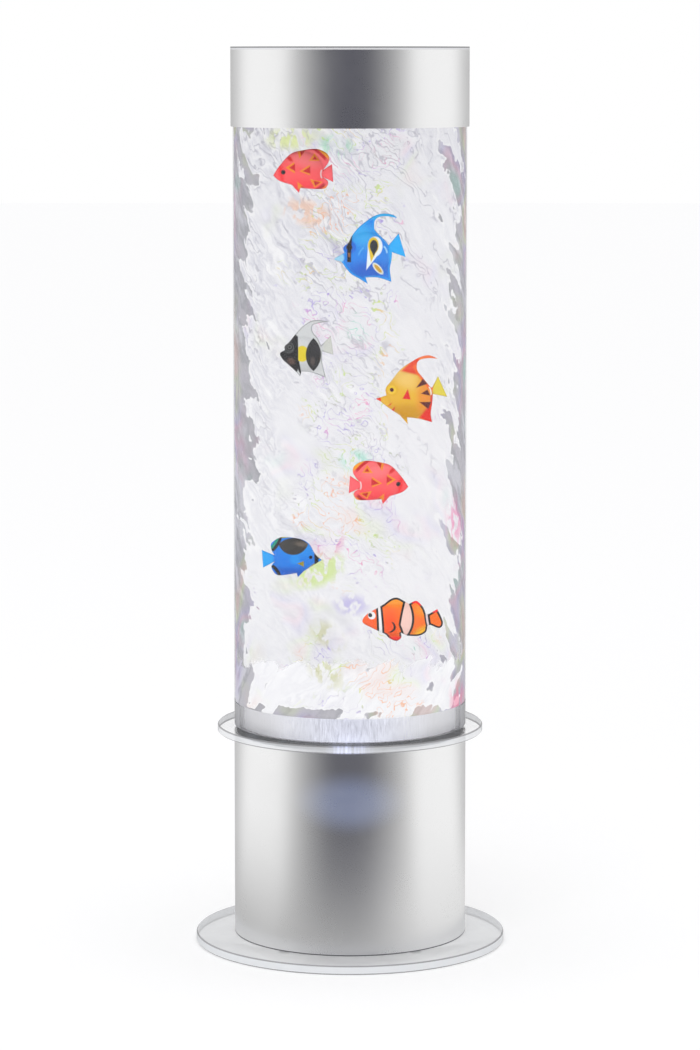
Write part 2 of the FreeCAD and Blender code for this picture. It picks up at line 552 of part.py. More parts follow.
def air_line_pieces():
    """The hoses and the non-return valve between the pump and the tube floor."""
    half_top = total("check_level", "check_half")
    seat = less(half_top, "flap_thick")
    room = "flap_radius + collar_clear"
    inlet_tip = less("check_level", "nipple_long")
    lower_half = joined(rod("check_radius", "check_half", "0", "line_y", "check_level"),
                        rod("nipple_radius", "nipple_long", "0", "line_y", inlet_tip))
    lower_bore = rod("air_bore", "check_half + nipple_long", "0", "line_y", inlet_tip)
    node("check_valve_inlet", cut(lower_half, lower_bore, rod(room, "flap_thick", "0", "line_y", seat)))
    upper_half = joined(rod("check_radius", "check_half", "0", "line_y", half_top),
                        rod("nipple_radius", "nipple_long", "0", "line_y", CHECK_TOP))
    upper_bore = rod("air_bore", "check_half + nipple_long", "0", "line_y", half_top)
    node("check_valve_outlet", cut(upper_half, upper_bore, rod(room, "flap_thick", "0", "line_y", half_top)))
    node("check_flap", rod("flap_radius", "flap_thick", "0", "line_y", seat))

    hose_radius = "nipple_radius + hose_wall"
    grip = total(NOZZLE_TIP, "nipple_long - grip_gap")
    lower = [("0", grip, NOZZLE_LEVEL), ("0", "line_y", NOZZLE_LEVEL), ("0", "line_y", "check_level")]
    node("lower_hose", tube_along(lower, hose_radius, "nipple_radius", less(NOZZLE_TIP, "line_y")))
    stem_base = less(FLOOR_BASE, "stem_drop")
    upper = [("0", "line_y", CHECK_TOP), ("0", "line_y", "line_level"), ("0", "0", "line_level"),
             ("0", "0", stem_base)]
    node("upper_hose", tube_along(upper, hose_radius, "nipple_radius", "hose_bend"))


# ---------------------------------------------------------------- control board, rear panel and leads
PANEL_OUTER = less(SHELL_BORE, "floor_fit")
PANEL_INNER = less(PANEL_OUTER, "panel_thick")
BUTTONS_X = ("-button_x", "button_x")
POSTS_X = ("-post_x", "post_x")
BUTTON_SHOULDER = "(sqrt(%s ^ 2 - (button_x + button_collar) ^ 2) - button_seat)" % PANEL_INNER
BUTTON_FRONT = total("shell_radius", "button_proud")
SWITCH_BOARD_FRONT = less(BUTTON_SHOULDER, "button_collar_thick", "button_stem_long", "button_travel",
                          "travel_spare", "plunger_long", "switch_thick")
SWITCH_BOARD_BACK = less(SWITCH_BOARD_FRONT, "board_thick")
INLET_FACE = "(sqrt(%s ^ 2 - (inlet_long / 2) ^ 2) - hole_clear)" % PANEL_INNER
INLET_BACK = less(INLET_FACE, "inlet_depth")
INLET_FRONT = less("shell_radius", "inlet_sunk")
INLET_PLUG_Y = total(BOARD_Y, "board_wide / 2", "-plug_side / 2")
PUMP_PLUG_Y = less(BOARD_Y, "plug_row")
SWITCH_PLUG_Y = total(BOARD_Y, "plug_row")


def level_rod(radius, length, x, y, z="panel_level"):
    """A bar that runs towards the rear panel from y."""
    return rod(radius, length, x, y, z, "Y")


def curved_plate(inner, outer, long, tall):
    """A plate bent to the shell's curve, centred on the rear window."""
    low = less("panel_level", "(%s) / 2" % tall)
    return common(ring(inner, outer, "0", FLANGE_BASE),
                  block(long, "shell_radius", tall, "0", "shell_radius", low))


def panel_pieces():
    """The rear panel in the shell's window with the power inlet and the two push buttons."""
    lap = curved_plate(PANEL_INNER, PANEL_OUTER, "window_long + 2 * panel_lap", "window_tall + panel_lap")
    pad_long, pad_tall = "window_long - 2 * panel_gap", "window_tall - 2 * panel_gap"
    pad = curved_plate(PANEL_INNER, "shell_radius", pad_long, pad_tall)
    post_long = total(less(BUTTON_SHOULDER, SWITCH_BOARD_FRONT), "post_bite")
    posts = [level_rod("post_radius", post_long, x, SWITCH_BOARD_FRONT, "post_level") for x in POSTS_X]
    holes = [level_rod("inlet_barrel + hole_clear", INLET_FRONT, "0", INLET_BACK)]
    holes += [level_rod("button_radius + hole_clear", INLET_FRONT, x, INLET_BACK) for x in BUTTONS_X]
    screw_from = less("shell_radius", "panel_screw_long")
    holes += [radial_rod("small_radius", "panel_screw_long", screw_from, side) for side in SIDES]
    holes += [level_rod("small_radius", "small_long - board_thick", x, SWITCH_BOARD_FRONT, "post_level")
              for x in POSTS_X]
    node("control_panel", cut(joined(lap, pad, *posts), *holes))
    node("panel_screws", grouped([joined(
        radial_rod("small_radius", "panel_screw_long", screw_from, side),
        radial_rod("small_head", "small_thick", "shell_radius", side)) for side in SIDES]))

    housing = block("inlet_long", "inlet_depth", "inlet_tall", "0", total(INLET_BACK, "inlet_depth / 2"),
                    less("panel_level", "inlet_tall / 2"))
    barrel = level_rod("inlet_barrel", less(INLET_FRONT, INLET_BACK), "0", INLET_BACK)
    bore = level_rod("inlet_bore", "inlet_deep", "0", less(INLET_FRONT, "inlet_deep"))
    pin_from = total(INLET_BACK, "board_thick")
    pin_long = less(INLET_FRONT, pin_from, "inlet_pin_sunk")
    pin_hole = level_rod("inlet_pin_radius", pin_long, "0", pin_from)
    node("inlet_socket", cut(joined(housing, barrel), bore, pin_hole))
    node("inlet_pin", level_rod("inlet_pin_radius", pin_long, "0", pin_from))

    collar_from = less(BUTTON_SHOULDER, "button_collar_thick")
    for label, x in zip(("light_button", "bubble_button"), BUTTONS_X):
        cap = level_rod("button_radius", less(BUTTON_FRONT, BUTTON_SHOULDER), x, BUTTON_SHOULDER)
        collar = level_rod("button_collar", "button_collar_thick", x, collar_from)
        stem = level_rod("button_stem", "button_stem_long", x, less(collar_from, "button_stem_long"))
        node(label, joined(cap, collar, stem))

    board = block("switch_board_long", "board_thick", "switch_board_tall", "0",
                  total(SWITCH_BOARD_BACK, "board_thick / 2"), less("panel_level", "switch_board_tall / 2"))
    board_holes = [level_rod("small_radius", "board_thick", x, SWITCH_BOARD_BACK, "post_level")
                   for x in POSTS_X]
    node("switch_board", cut(board, *board_holes))
    switches = []
    for x in BUTTONS_X:
        body = block("switch_side", "switch_thick", "switch_side", x,
                     total(SWITCH_BOARD_FRONT, "switch_thick / 2"), less("panel_level", "switch_side / 2"))
        plunger_from = total(SWITCH_BOARD_FRONT, "switch_thick")
        switches.append(joined(body, level_rod("plunger_radius", "plunger_long", x, plunger_from)))
    node("tact_switches", grouped(switches))
    return [joined(
        level_rod("small_head", "small_thick", x, less(SWITCH_BOARD_BACK, "small_thick"), "post_level"),
        level_rod("small_radius", "small_long", x, SWITCH_BOARD_BACK, "post_level")) for x in POSTS_X]


def board_pieces():
    """The control board on its bosses, with what is soldered to it."""
    board = block("board_long", "board_wide", "board_thick", "0", BOARD_Y, BOARD_BASE)
    node("control_board", cut(board, *rods("small_radius", "board_thick", BOARD_SCREWS, BOARD_BASE)))
    plugs = [block("plug_side", "plug_side", "plug_tall", x, y, BOARD_TOP) for x, y in (
        ("led_plug_x", BOARD_Y), ("pump_plug_x", PUMP_PLUG_Y), ("0", INLET_PLUG_Y),
        ("switch_plug_x", SWITCH_PLUG_Y))]
    relay = block("relay_long", "relay_wide", "relay_tall", "relay_x", PUMP_PLUG_Y, BOARD_TOP)
    capacitors = [rod("capacitor_radius", "capacitor_tall", x, less(BOARD_Y, "capacitor_row"), BOARD_TOP)
                  for x in ("-capacitor_x", "capacitor_x")]
    chip = block("chip_side", "chip_side", "chip_thick", "chip_x", total(BOARD_Y, "chip_row"), BOARD_TOP)
    node("board_parts", grouped(plugs + [relay, chip] + capacitors))
    return [small_screw(x, y, BOARD_TOP) for x, y in BOARD_SCREWS]


def lead_pieces():
    """The wires that stay inside the base."""
    plug_top = total(BOARD_TOP, "plug_tall")
    plug_level = total(BOARD_TOP, "plug_tall / 2")
    led_top = total(TUBE_BASE, "board_thick", "lead_radius")
    node("led_lead", tube_along([
        ("led_plug_x", BOARD_Y, plug_top), ("led_plug_x", BOARD_Y, "lead_level"),
        ("-led_lead_x", "0", "lead_level"), ("-led_lead_x", "0", led_top),
        ("-led_board_hole - led_lead_reach", "0", led_top)], "lead_radius", "0", "lead_bend / 2"))
    above = total(PUMP_TOP, "pump_lead_rise")
    node("pump_lead", tube_along([
        ("pump_plug_x", PUMP_PLUG_Y, plug_top), ("pump_plug_x", PUMP_PLUG_Y, above),
        ("pump_plug_x", "pump_lead_reach", above),
        ("pump_plug_x", "pump_lead_reach", total(PUMP_TOP, "pump_wall"))],
        "lead_radius", "0", "lead_bend"))
    inlet_y = total(INLET_BACK, "inlet_lead_inset")
    node("inlet_lead", tube_along([
        ("0", inlet_y, less("panel_level", "inlet_tall / 2")), ("0", inlet_y, plug_level),
        ("0", total(INLET_PLUG_Y, "plug_side / 2"), plug_level)], "lead_radius", "0", "lead_bend / 2"))
    node("switch_lead", tube_along([
        ("switch_plug_x", SWITCH_BOARD_BACK, "panel_level"), ("switch_plug_x", SWITCH_PLUG_Y, "panel_level"),
        ("switch_plug_x", SWITCH_PLUG_Y, plug_top)], "lead_radius", "0", "lead_bend"))


# ---------------------------------------------------------------- fish
# Each kind of fish faces -X: the oval body's centre and half sizes, then the outline of its fins, snout and
# tail, all as shares of the fish's own length and height, measured from the middle of the whole fish.
KINDS = {
    "coral": ((-0.02, 0.03, 0.36, 0.42), [
        (-0.5, -0.1), (-0.4, 0.11), (-0.21, 0.39), (0.02, 0.48), (0.24, 0.5), (0.4, 0.39), (0.43, 0.23),
        (0.33, 0.02), (0.48, 0.16), (0.5, -0.25), (0.33, -0.14), (0.41, -0.23), (0.4, -0.34), (0.31, -0.41),
        (-0.05, -0.39), (-0.07, -0.5), (-0.19, -0.32), (-0.4, -0.22)]),
    "azure": ((-0.04, -0.08, 0.32, 0.32), [
        (-0.5, -0.15), (-0.4, -0.08), (-0.36, -0.06), (-0.37, 0.02), (-0.3, 0.09), (-0.26, 0.17),
        (-0.17, 0.29), (-0.04, 0.4), (0.07, 0.47), (0.2, 0.5), (0.32, 0.48), (0.37, 0.44), (0.24, 0.46),
        (0.13, 0.45), (0.07, 0.4), (0.06, 0.32), (0.08, 0.25), (0.22, 0.11), (0.26, 0.05), (0.4, 0.22),
        (0.5, -0.12), (0.31, -0.05), (0.3, -0.17), (0.28, -0.29), (0.3, -0.47), (0.11, -0.41),
        (-0.06, -0.41), (-0.03, -0.5), (-0.14, -0.43), (-0.26, -0.36), (-0.34, -0.27), (-0.4, -0.19)]),
    "banner": ((-0.08, -0.09, 0.35, 0.31), [
        (-0.5, -0.08), (-0.41, -0.02), (-0.41, 0.05), (-0.32, 0.13), (-0.18, 0.29), (-0.05, 0.41),
        (0.1, 0.49), (0.25, 0.5), (0.43, 0.47), (0.29, 0.46), (0.13, 0.42), (0.1, 0.35), (0.13, 0.27),
        (0.21, 0.18), (0.27, 0.06), (0.45, 0.23), (0.5, -0.1), (0.29, -0.04), (0.29, -0.23), (0.36, -0.5),
        (0.1, -0.41), (-0.1, -0.39), (-0.12, -0.48), (-0.23, -0.37), (-0.35, -0.27), (-0.45, -0.18)]),
    "amber": ((-0.02, -0.06, 0.31, 0.34), [
        (-0.5, -0.13), (-0.35, -0.08), (-0.36, 0.02), (-0.29, 0.12), (-0.15, 0.3), (0.02, 0.42), (0.13, 0.48),
        (0.25, 0.5), (0.37, 0.45), (0.25, 0.46), (0.13, 0.44), (0.08, 0.39), (0.08, 0.29), (0.15, 0.19),
        (0.27, 0.04), (0.29, 0.04), (0.37, 0.2), (0.5, -0.1), (0.3, -0.06), (0.29, -0.19), (0.27, -0.35),
        (0.29, -0.47), (0.11, -0.42), (-0.06, -0.4), (-0.05, -0.5), (-0.16, -0.37), (-0.32, -0.26),
        (-0.43, -0.17)]),
    "saddle": ((-0.03, 0.02, 0.36, 0.42), [
        (-0.5, -0.07), (-0.4, 0.06), (-0.29, 0.33), (-0.15, 0.45), (0.07, 0.5), (0.2, 0.49), (0.34, 0.35),
        (0.34, 0.18), (0.29, 0.05), (0.5, 0.18), (0.48, -0.26), (0.29, -0.11), (0.34, -0.21), (0.32, -0.33),
        (0.22, -0.45), (-0.08, -0.4), (-0.1, -0.5), (-0.2, -0.35), (-0.35, -0.21)]),
    "clown": ((-0.07, -0.01, 0.4, 0.36), [
        (-0.5, -0.06), (-0.44, 0.13), (-0.31, 0.27), (-0.23, 0.36), (-0.14, 0.48), (-0.06, 0.5), (0.03, 0.41),
        (0.08, 0.36), (0.17, 0.43), (0.25, 0.29), (0.29, 0.11), (0.33, 0.13), (0.43, 0.24), (0.5, -0.06),
        (0.46, -0.2), (0.35, -0.13), (0.31, -0.15), (0.29, -0.29), (0.2, -0.38), (0.06, -0.38),
        (-0.02, -0.31), (-0.02, -0.43), (-0.08, -0.5), (-0.17, -0.43), (-0.22, -0.34), (-0.36, -0.22)]),
}
# name of the fish, its kind, and -1 where it faces -X or 1 where it faces +X
FISH = [("upper_red", "coral", -1), ("blue_angel", "azure", -1), ("banner_fish", "banner", -1),
        ("yellow_angel", "amber", -1), ("lower_red", "coral", 1), ("blue_saddle", "saddle", 1),
        ("clownfish", "clown", -1)]


def fish_piece(label, kind, facing):
    """One moulded fish: a flattened oval body on a thin sheet cut to the fins' outline."""
    (across, up, half_long, half_tall), fins = KINDS[kind]
    long, tall, thick = kind + "_long", kind + "_tall", kind + "_thick"
    x, y, z = label + "_x", label + "_y", label + "_z"
    sketch = doc.addObject("Sketcher::SketchObject", "Fins")
    outline(sketch, [("%s * %s" % (-facing * share, long), "%s * %s" % (rise, tall)) for share, rise in fins])
    sheet_fins = doc.addObject("Part::Extrusion", "FinSheet")
    sheet_fins.Base = sketch
    sheet_fins.DirMode = "Custom"
    sheet_fins.Dir = FreeCAD.Vector(0, 0, 1)
    sheet_fins.Solid = True
    sheet_fins.Symmetric = True
    sheet_fins.setExpression("LengthFwd", bound("fin_thick"))
    sheet_fins.Placement.Rotation = FreeCAD.Rotation(FreeCAD.Vector(1, 0, 0), 90)
    place(sheet_fins, x, y, z)
    oval = doc.addObject("Part::Ellipsoid", "Oval")
    oval.setExpression("Radius1", bound("%s * %s" % (half_tall, tall)))
    oval.setExpression("Radius2", bound("%s * %s" % (half_long, long)))
    oval.setExpression("Radius3", bound("%s / 2" % thick))
    place(oval, total(x, "(%s) * %s" % (-facing * across, long)), y, total(z, "(%s) * %s" % (up, tall)))
    node(label, joined(oval, sheet_fins))


# ---------------------------------------------------------------- build, check and write
base_pieces()
screws = tube_pieces()
air_fitting_pieces()
cap_pieces()
pump_pieces()
air_line_pieces()
screws += board_pieces()
screws += panel_pieces()
node("board_screws", grouped(screws))
lead_pieces()
for fish in FISH:
    fish_piece(*fish)
doc.recompute()

for thing in doc.Objects:
    if {"Invalid", "Error"} & set(thing.State):
        raise RuntimeError("%s did not build: %s" % (thing.Label, thing.State))
os.makedirs("parts", exist_ok=True)
for label, thing in NODES.items():
    shape = thing.Shape
    if shape.isNull() or not shape.isValid() or not shape.Solids:
        raise RuntimeError(label + " has no valid solid")
    shape.exportStep("parts/%s.step" % label)
    box = shape.BoundBox
    print("%-20s %2d solid(s) %10.1f mm3  x %7.2f %7.2f  y %7.2f %7.2f  z %7.2f %7.2f" % (
        label, len(shape.Solids), shape.Volume, box.XMin, box.XMax, box.YMin, box.YMax, box.ZMin, box.ZMax))
print(len(NODES), "nodes")
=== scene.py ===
"""The looks of a bubble tube floor lamp with seven toy fish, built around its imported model. Metres, +Z up."""
import json
import math

import bpy
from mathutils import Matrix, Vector, kdtree, noise
from mathutils.geometry import delaunay_2d_cdt


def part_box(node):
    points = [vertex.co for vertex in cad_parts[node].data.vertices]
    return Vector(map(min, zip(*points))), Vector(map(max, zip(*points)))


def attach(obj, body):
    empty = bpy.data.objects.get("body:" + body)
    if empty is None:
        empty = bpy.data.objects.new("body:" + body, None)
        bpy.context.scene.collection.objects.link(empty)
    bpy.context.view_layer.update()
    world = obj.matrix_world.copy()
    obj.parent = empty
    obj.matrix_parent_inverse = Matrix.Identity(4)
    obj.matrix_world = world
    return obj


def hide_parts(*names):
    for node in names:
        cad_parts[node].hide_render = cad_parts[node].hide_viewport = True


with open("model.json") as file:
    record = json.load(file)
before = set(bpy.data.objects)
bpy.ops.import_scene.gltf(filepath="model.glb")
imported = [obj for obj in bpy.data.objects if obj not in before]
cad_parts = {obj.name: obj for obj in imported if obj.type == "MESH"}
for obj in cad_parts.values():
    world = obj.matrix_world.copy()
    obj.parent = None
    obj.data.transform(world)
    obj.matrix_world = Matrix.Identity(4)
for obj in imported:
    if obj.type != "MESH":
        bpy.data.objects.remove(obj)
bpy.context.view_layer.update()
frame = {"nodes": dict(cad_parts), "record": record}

NODES = frame["nodes"]
MM = 0.001
TO_MM = 1000.0
COLLAR_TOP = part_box("tube_floor")[1].z        # the silver band's top edge, where the water starts


# ---------------------------------------------------------------- wiring shader nodes
def screen(red, green, blue):
    """The colour that shows as these 0 to 255 screen values, as a shader takes it."""
    parts = [part / 255 for part in (red, green, blue)]
    return tuple(p / 12.92 if p <= 0.04045 else ((p + 0.055) / 1.055) ** 2.4 for p in parts) + (1,)


def feed(tree, node, feeds):
    """Sets a node's sockets, by name or number, to values or links them to other nodes' outputs."""
    for socket, source in feeds.items():
        if isinstance(source, bpy.types.NodeSocket):
            tree.links.new(source, node.inputs[socket])
        else:
            node.inputs[socket].default_value = source
    return node


def add(tree, kind, feeds=None, **settings):
    """A new shader node with its settings and sockets."""
    node = tree.nodes.new("ShaderNode" + kind)
    for name, setting in settings.items():
        setattr(node, name, setting)
    return feed(tree, node, feeds or {})


def figure(tree, operation, *terms, clamp=False):
    """The result of a sum over numbers."""
    return add(tree, "Math", dict(enumerate(terms)), operation=operation, use_clamp=clamp).outputs[0]


def vector(tree, operation, *terms):
    """The result of a sum over vectors."""
    result = add(tree, "VectorMath", dict(enumerate(terms)), operation=operation)
    return result.outputs["Value" if operation in ("LENGTH", "DOT_PRODUCT") else "Vector"]


def scaled(tree, source, factor):
    """A vector times a number."""
    return add(tree, "VectorMath", {0: source, "Scale": factor}, operation="SCALE").outputs[0]


def over(tree, mask, under, top):
    """One colour laid over another through a mask."""
    return add(tree, "Mix", {0: mask, 6: under, 7: top}, data_type="RGBA").outputs[2]


def axis(tree, source, letter):
    """One part of a vector: "X", "Y" or "Z"."""
    return add(tree, "SeparateXYZ", {0: source}).outputs[letter]


def times(tree, *terms):
    """The product of numbers."""
    result = terms[0]
    for term in terms[1:]:
        result = figure(tree, "MULTIPLY", result, term)
    return result


def plus(tree, *terms):
    """The sum of two numbers."""
    return figure(tree, "ADD", *terms)


def less(tree, *terms):
    """The first number less the second."""
    return figure(tree, "SUBTRACT", *terms)


def normal_of(tree):
    """Which way the surface faces."""
    return add(tree, "NewGeometry").outputs["Normal"]


def between(tree, source, low, high, start=0.0, end=1.0):
    """A smooth step: start below low, end above high."""
    return add(tree, "MapRange", {0: source, 1: low, 2: high, 3: start, 4: end},
               interpolation_type="SMOOTHSTEP").outputs[0]


def ramp(tree, source, *stops):
    """A colour ramp through (place, colour) stops."""
    node = add(tree, "ValToRGB", {0: source})
    marks = node.color_ramp.elements
    for index, (at, colour) in enumerate(stops):
        mark = marks[index] if index < 2 else marks.new(at)
        mark.position, mark.color = at, colour
    return node.outputs[0]


def grain(tree, at, scale, detail=3.0, rough=0.55):
    """A noise texture's value, 0 to 1, at a place in metres; scale is in waves per metre."""
    feeds = {"Vector": at, "Scale": scale, "Detail": detail, "Roughness": rough}
    return add(tree, "TexNoise", feeds).outputs[0]


def object_place(tree):
    """Where the surface is, in the piece's own metres."""
    return add(tree, "TexCoord").outputs["Object"]


def new_group(name, takes, gives):
    """An empty node group; takes maps inputs to starting values, gives maps outputs to kinds."""
    tree = bpy.data.node_groups.new(name, "ShaderNodeTree")
    for socket, start in takes.items():
        kind = {1: "Float", 3: "Vector", 4: "Color"}[len(start) if isinstance(start, tuple) else 1]
        made = tree.interface.new_socket(socket, in_out="INPUT", socket_type="NodeSocket" + kind)
        made.default_value = start
    for socket, kind in gives.items():
        tree.interface.new_socket(socket, in_out="OUTPUT", socket_type="NodeSocket" + kind)
    return tree, tree.nodes.new("NodeGroupInput").outputs, tree.nodes.new("NodeGroupOutput")


def use(tree, group_tree, feeds=None):
    """A node group placed in a tree."""
    node = tree.nodes.new("ShaderNodeGroup")
    node.node_tree = group_tree
    return feed(tree, node, feeds or {}).outputs


# ---------------------------------------------------------------- effects that several finishes share
def make_surface_grain():
    """Fine grain of a made surface: a 0 to 1 mask, stretched as it was brushed, cast or moulded."""
    tree, takes, gives = new_group("surface_grain",
                                   {"Scale": 900.0, "Stretch": (1.0, 1.0, 1.0), "Contrast": 1.0},
                                   {"Grain": "Float"})
    at = vector(tree, "MULTIPLY", object_place(tree), takes["Stretch"])
    fine = add(tree, "TexNoise", {"Vector": at, "Scale": takes["Scale"], "Detail": 4.0, "Roughness": 0.6})
    centred = less(tree, fine.outputs[0], 0.5)
    strong = times(tree, centred, takes["Contrast"])
    feed(tree, gives, {"Grain": figure(tree, "ADD", strong, 0.5, clamp=True)})
    return tree


def make_handling():
    """Traces of use: soft finger smudges, and dust that settles on what faces up."""
    tree, takes, gives = new_group("handling", {"Smudge Size": 30.0, "Dust Grain": 1400.0},
                                   {"Smudge": "Float", "Dust": "Float"})
    at = object_place(tree)
    broad = add(tree, "TexNoise", {"Vector": at, "Scale": takes["Smudge Size"], "Detail": 3.0,
                                   "Distortion": 0.8})
    specks = add(tree, "TexNoise", {"Vector": at, "Scale": takes["Dust Grain"], "Detail": 2.0})
    facing = axis(tree, normal_of(tree), "Z")
    settled = times(tree, between(tree, facing, 0.3, 0.95), between(tree, specks.outputs[0], 0.56, 0.7))
    feed(tree, gives, {"Smudge": between(tree, broad.outputs[0], 0.42, 0.68), "Dust": settled})
    return tree


def make_oval_mark():
    """A painted oval in the X-Z plane, in millimetres, with a soft edge and a rim."""
    tree, takes, gives = new_group(
        "oval_mark", {"Place": (0.0, 0.0, 0.0), "Centre": (0.0, 0.0, 0.0), "Half Long": 1.0, "Half Tall": 1.0,
                      "Tilt": 0.0, "Soft": 0.15}, {"Inside": "Float", "Depth": "Float"})
    off = vector(tree, "SUBTRACT", takes["Place"], takes["Centre"])
    turned = add(tree, "VectorRotate", {"Vector": off, "Angle": takes["Tilt"]},
                 rotation_type="Y_AXIS").outputs[0]
    parts = add(tree, "SeparateXYZ", {0: turned}).outputs
    across = figure(tree, "DIVIDE", parts["X"], takes["Half Long"])
    up = figure(tree, "DIVIDE", parts["Z"], takes["Half Tall"])
    reach = figure(tree, "SQRT", plus(tree, times(tree, across, across), times(tree, up, up)))
    depth = times(tree, less(tree, 1.0, reach),
                  figure(tree, "MINIMUM", takes["Half Long"], takes["Half Tall"]))
    minus = times(tree, takes["Soft"], -1.0)
    feed(tree, gives, {"Inside": between(tree, depth, minus, takes["Soft"]), "Depth": depth})
    return tree


def make_wedge_mark():
    """A painted triangle in the X-Z plane, corners clockwise as seen from -Y, in millimetres."""
    tree, takes, gives = new_group(
        "wedge_mark", {"Place": (0.0, 0.0, 0.0), "First": (0.0, 0.0, 0.0), "Second": (0.0, 0.0, 0.0),
                       "Third": (0.0, 0.0, 0.0), "Soft": 0.15}, {"Inside": "Float", "Depth": "Float"})
    depths = []
    for start, end in (("First", "Second"), ("Second", "Third"), ("Third", "First")):
        along = vector(tree, "NORMALIZE", vector(tree, "SUBTRACT", takes[end], takes[start]))
        inward = vector(tree, "CROSS_PRODUCT", along, (0.0, -1.0, 0.0))
        off = vector(tree, "SUBTRACT", takes["Place"], takes[start])
        depths.append(vector(tree, "DOT_PRODUCT", off, inward))
    depth = figure(tree, "MINIMUM", figure(tree, "MINIMUM", depths[0], depths[1]), depths[2])
    minus = times(tree, takes["Soft"], -1.0)
    feed(tree, gives, {"Inside": between(tree, depth, minus, takes["Soft"]), "Depth": depth})
    return tree


def make_stroke_mark():
    """A painted line from Start to End, in millimetres, and the side that its Bow turns away from."""
    tree, takes, gives = new_group(
        "stroke_mark", {"Place": (0.0, 0.0, 0.0), "Start": (0.0, 0.0, 0.0), "End": (0.0, 0.0, 0.0),
                        "Bow": 0.0, "Half Wide": 0.5, "Soft": 0.15}, {"Line": "Float", "Side": "Float"})
    run = vector(tree, "SUBTRACT", takes["End"], takes["Start"])
    length = vector(tree, "LENGTH", run)
    along = vector(tree, "NORMALIZE", run)
    aside = vector(tree, "CROSS_PRODUCT", along, (0.0, 1.0, 0.0))
    off = vector(tree, "SUBTRACT", takes["Place"], takes["Start"])
    share = figure(tree, "DIVIDE", vector(tree, "DOT_PRODUCT", off, along), length)
    arch = times(tree, times(tree, share, less(tree, 1.0, share)), 4.0)
    bowed = less(tree, vector(tree, "DOT_PRODUCT", off, aside), times(tree, arch, takes["Bow"]))
    minus = times(tree, takes["Soft"], -1.0)
    within = less(tree, takes["Half Wide"], figure(tree, "ABSOLUTE", bowed))
    ends = times(tree, figure(tree, "MINIMUM", share, less(tree, 1.0, share)), length)
    line = figure(tree, "MINIMUM", within, ends)
    feed(tree, gives, {"Line": between(tree, line, minus, takes["Soft"]),
                       "Side": between(tree, bowed, minus, takes["Soft"], 1.0, 0.0)})
    return tree


def make_water_swirl():
    """Slow helical swirls in lit water: veils, thin contour lines, the pastel that tints them, and lumps."""
    tree, takes, gives = new_group("water_swirl", {"Twist": -11.0, "Warp": 0.024},
                                   {"Veil": "Float", "Contour": "Float", "Pastel": "Color", "Lump": "Float"})
    at = object_place(tree)
    height = axis(tree, at, "Z")
    twist = times(tree, height, takes["Twist"])
    helix = add(tree, "VectorRotate", {"Vector": at, "Angle": twist}, rotation_type="Z_AXIS").outputs[0]
    stir = add(tree, "TexNoise", {"Vector": at, "Scale": 44.0, "Detail": 3.0, "Roughness": 0.55}).outputs[1]
    shift = scaled(tree, vector(tree, "SUBTRACT", stir, (0.5, 0.5, 0.5)), takes["Warp"])
    warped = vector(tree, "ADD", helix, shift)
    broad = grain(tree, vector(tree, "MULTIPLY", warped, (1.0, 1.0, 0.42)), 38.0, 3.0, 0.5)
    feather = grain(tree, vector(tree, "MULTIPLY", vector(tree, "ADD", helix, scaled(tree, shift, 0.6)),
                                 (1.0, 1.0, 0.3)), 100.0, 2.0, 0.5)
    veil = plus(tree, broad, times(tree, less(tree, feather, 0.5), 0.34))
    field = grain(tree, vector(tree, "MULTIPLY", vector(tree, "ADD", helix, scaled(tree, shift, 1.5)),
                               (1.0, 1.0, 0.7)), 52.0, 2.0, 0.5)
    phase = figure(tree, "PINGPONG", times(tree, field, 9.0), 0.5)
    line = between(tree, phase, 0.01, 0.075, 1.0, 0.0)
    tint = grain(tree, vector(tree, "ADD", at, (0.31, 0.17, 0.05)), 26.0, 1.0, 0.5)
    pastel = ramp(tree, tint, (0.30, screen(130, 222, 196)), (0.40, screen(246, 150, 200)),
                  (0.46, screen(168, 148, 228)), (0.52, screen(196, 190, 206)), (0.58, screen(206, 232, 104)),
                  (0.66, screen(248, 182, 140)))
    lump = grain(tree, vector(tree, "MULTIPLY", vector(tree, "ADD", helix, scaled(tree, shift, 1.2)),
                              (1.0, 1.0, 0.55)), 62.0, 2.0, 0.5)
    feed(tree, gives, {"Veil": veil, "Contour": line, "Pastel": pastel, "Lump": lump})
    return tree


def make_studio_round():
    """The studio as polished things see it, by compass: dark behind the lens, bright at both sides."""
    tree, takes, gives = new_group("studio_round", {"Direction": (0.0, -1.0, 0.0)}, {"Light": "Color"})
    parts = add(tree, "SeparateXYZ", {0: takes["Direction"]}).outputs
    turn = figure(tree, "ABSOLUTE", figure(tree, "ARCTAN2", parts["X"], times(tree, parts["Y"], -1.0)))
    share = figure(tree, "DIVIDE", turn, math.pi)
    light = ramp(tree, share, (0.0, (0.09, 0.09, 0.115, 1)), (0.10, (0.10, 0.10, 0.12, 1)),
                 (0.20, (0.31, 0.31, 0.32, 1)), (0.29, (0.60, 0.60, 0.60, 1)), (0.37, (1.02, 1.02, 1.02, 1)),
                 (0.65, (1.02, 1.02, 1.02, 1)), (0.78, (0.64, 0.64, 0.64, 1)), (1.0, (0.46, 0.46, 0.46, 1)))
    feed(tree, gives, {"Light": light})
    return tree


GRAIN = make_surface_grain()
HANDLING = make_handling()
OVAL = make_oval_mark()
WEDGE = make_wedge_mark()
STROKE = make_stroke_mark()
SWIRL = make_water_swirl()
STUDIO = make_studio_round()


# ---------------------------------------------------------------- finishes
def new_finish(name, **plain):
    """A material with its Principled shader and the sockets that stay plain."""
    made = bpy.data.materials.new(name)
    made.use_nodes = True
    shader = made.node_tree.nodes["Principled BSDF"]
    for socket, setting in plain.items():
        shader.inputs[socket.replace("_", " ").replace("Ior", "IOR")].default_value = setting
    return made, made.node_tree, shader


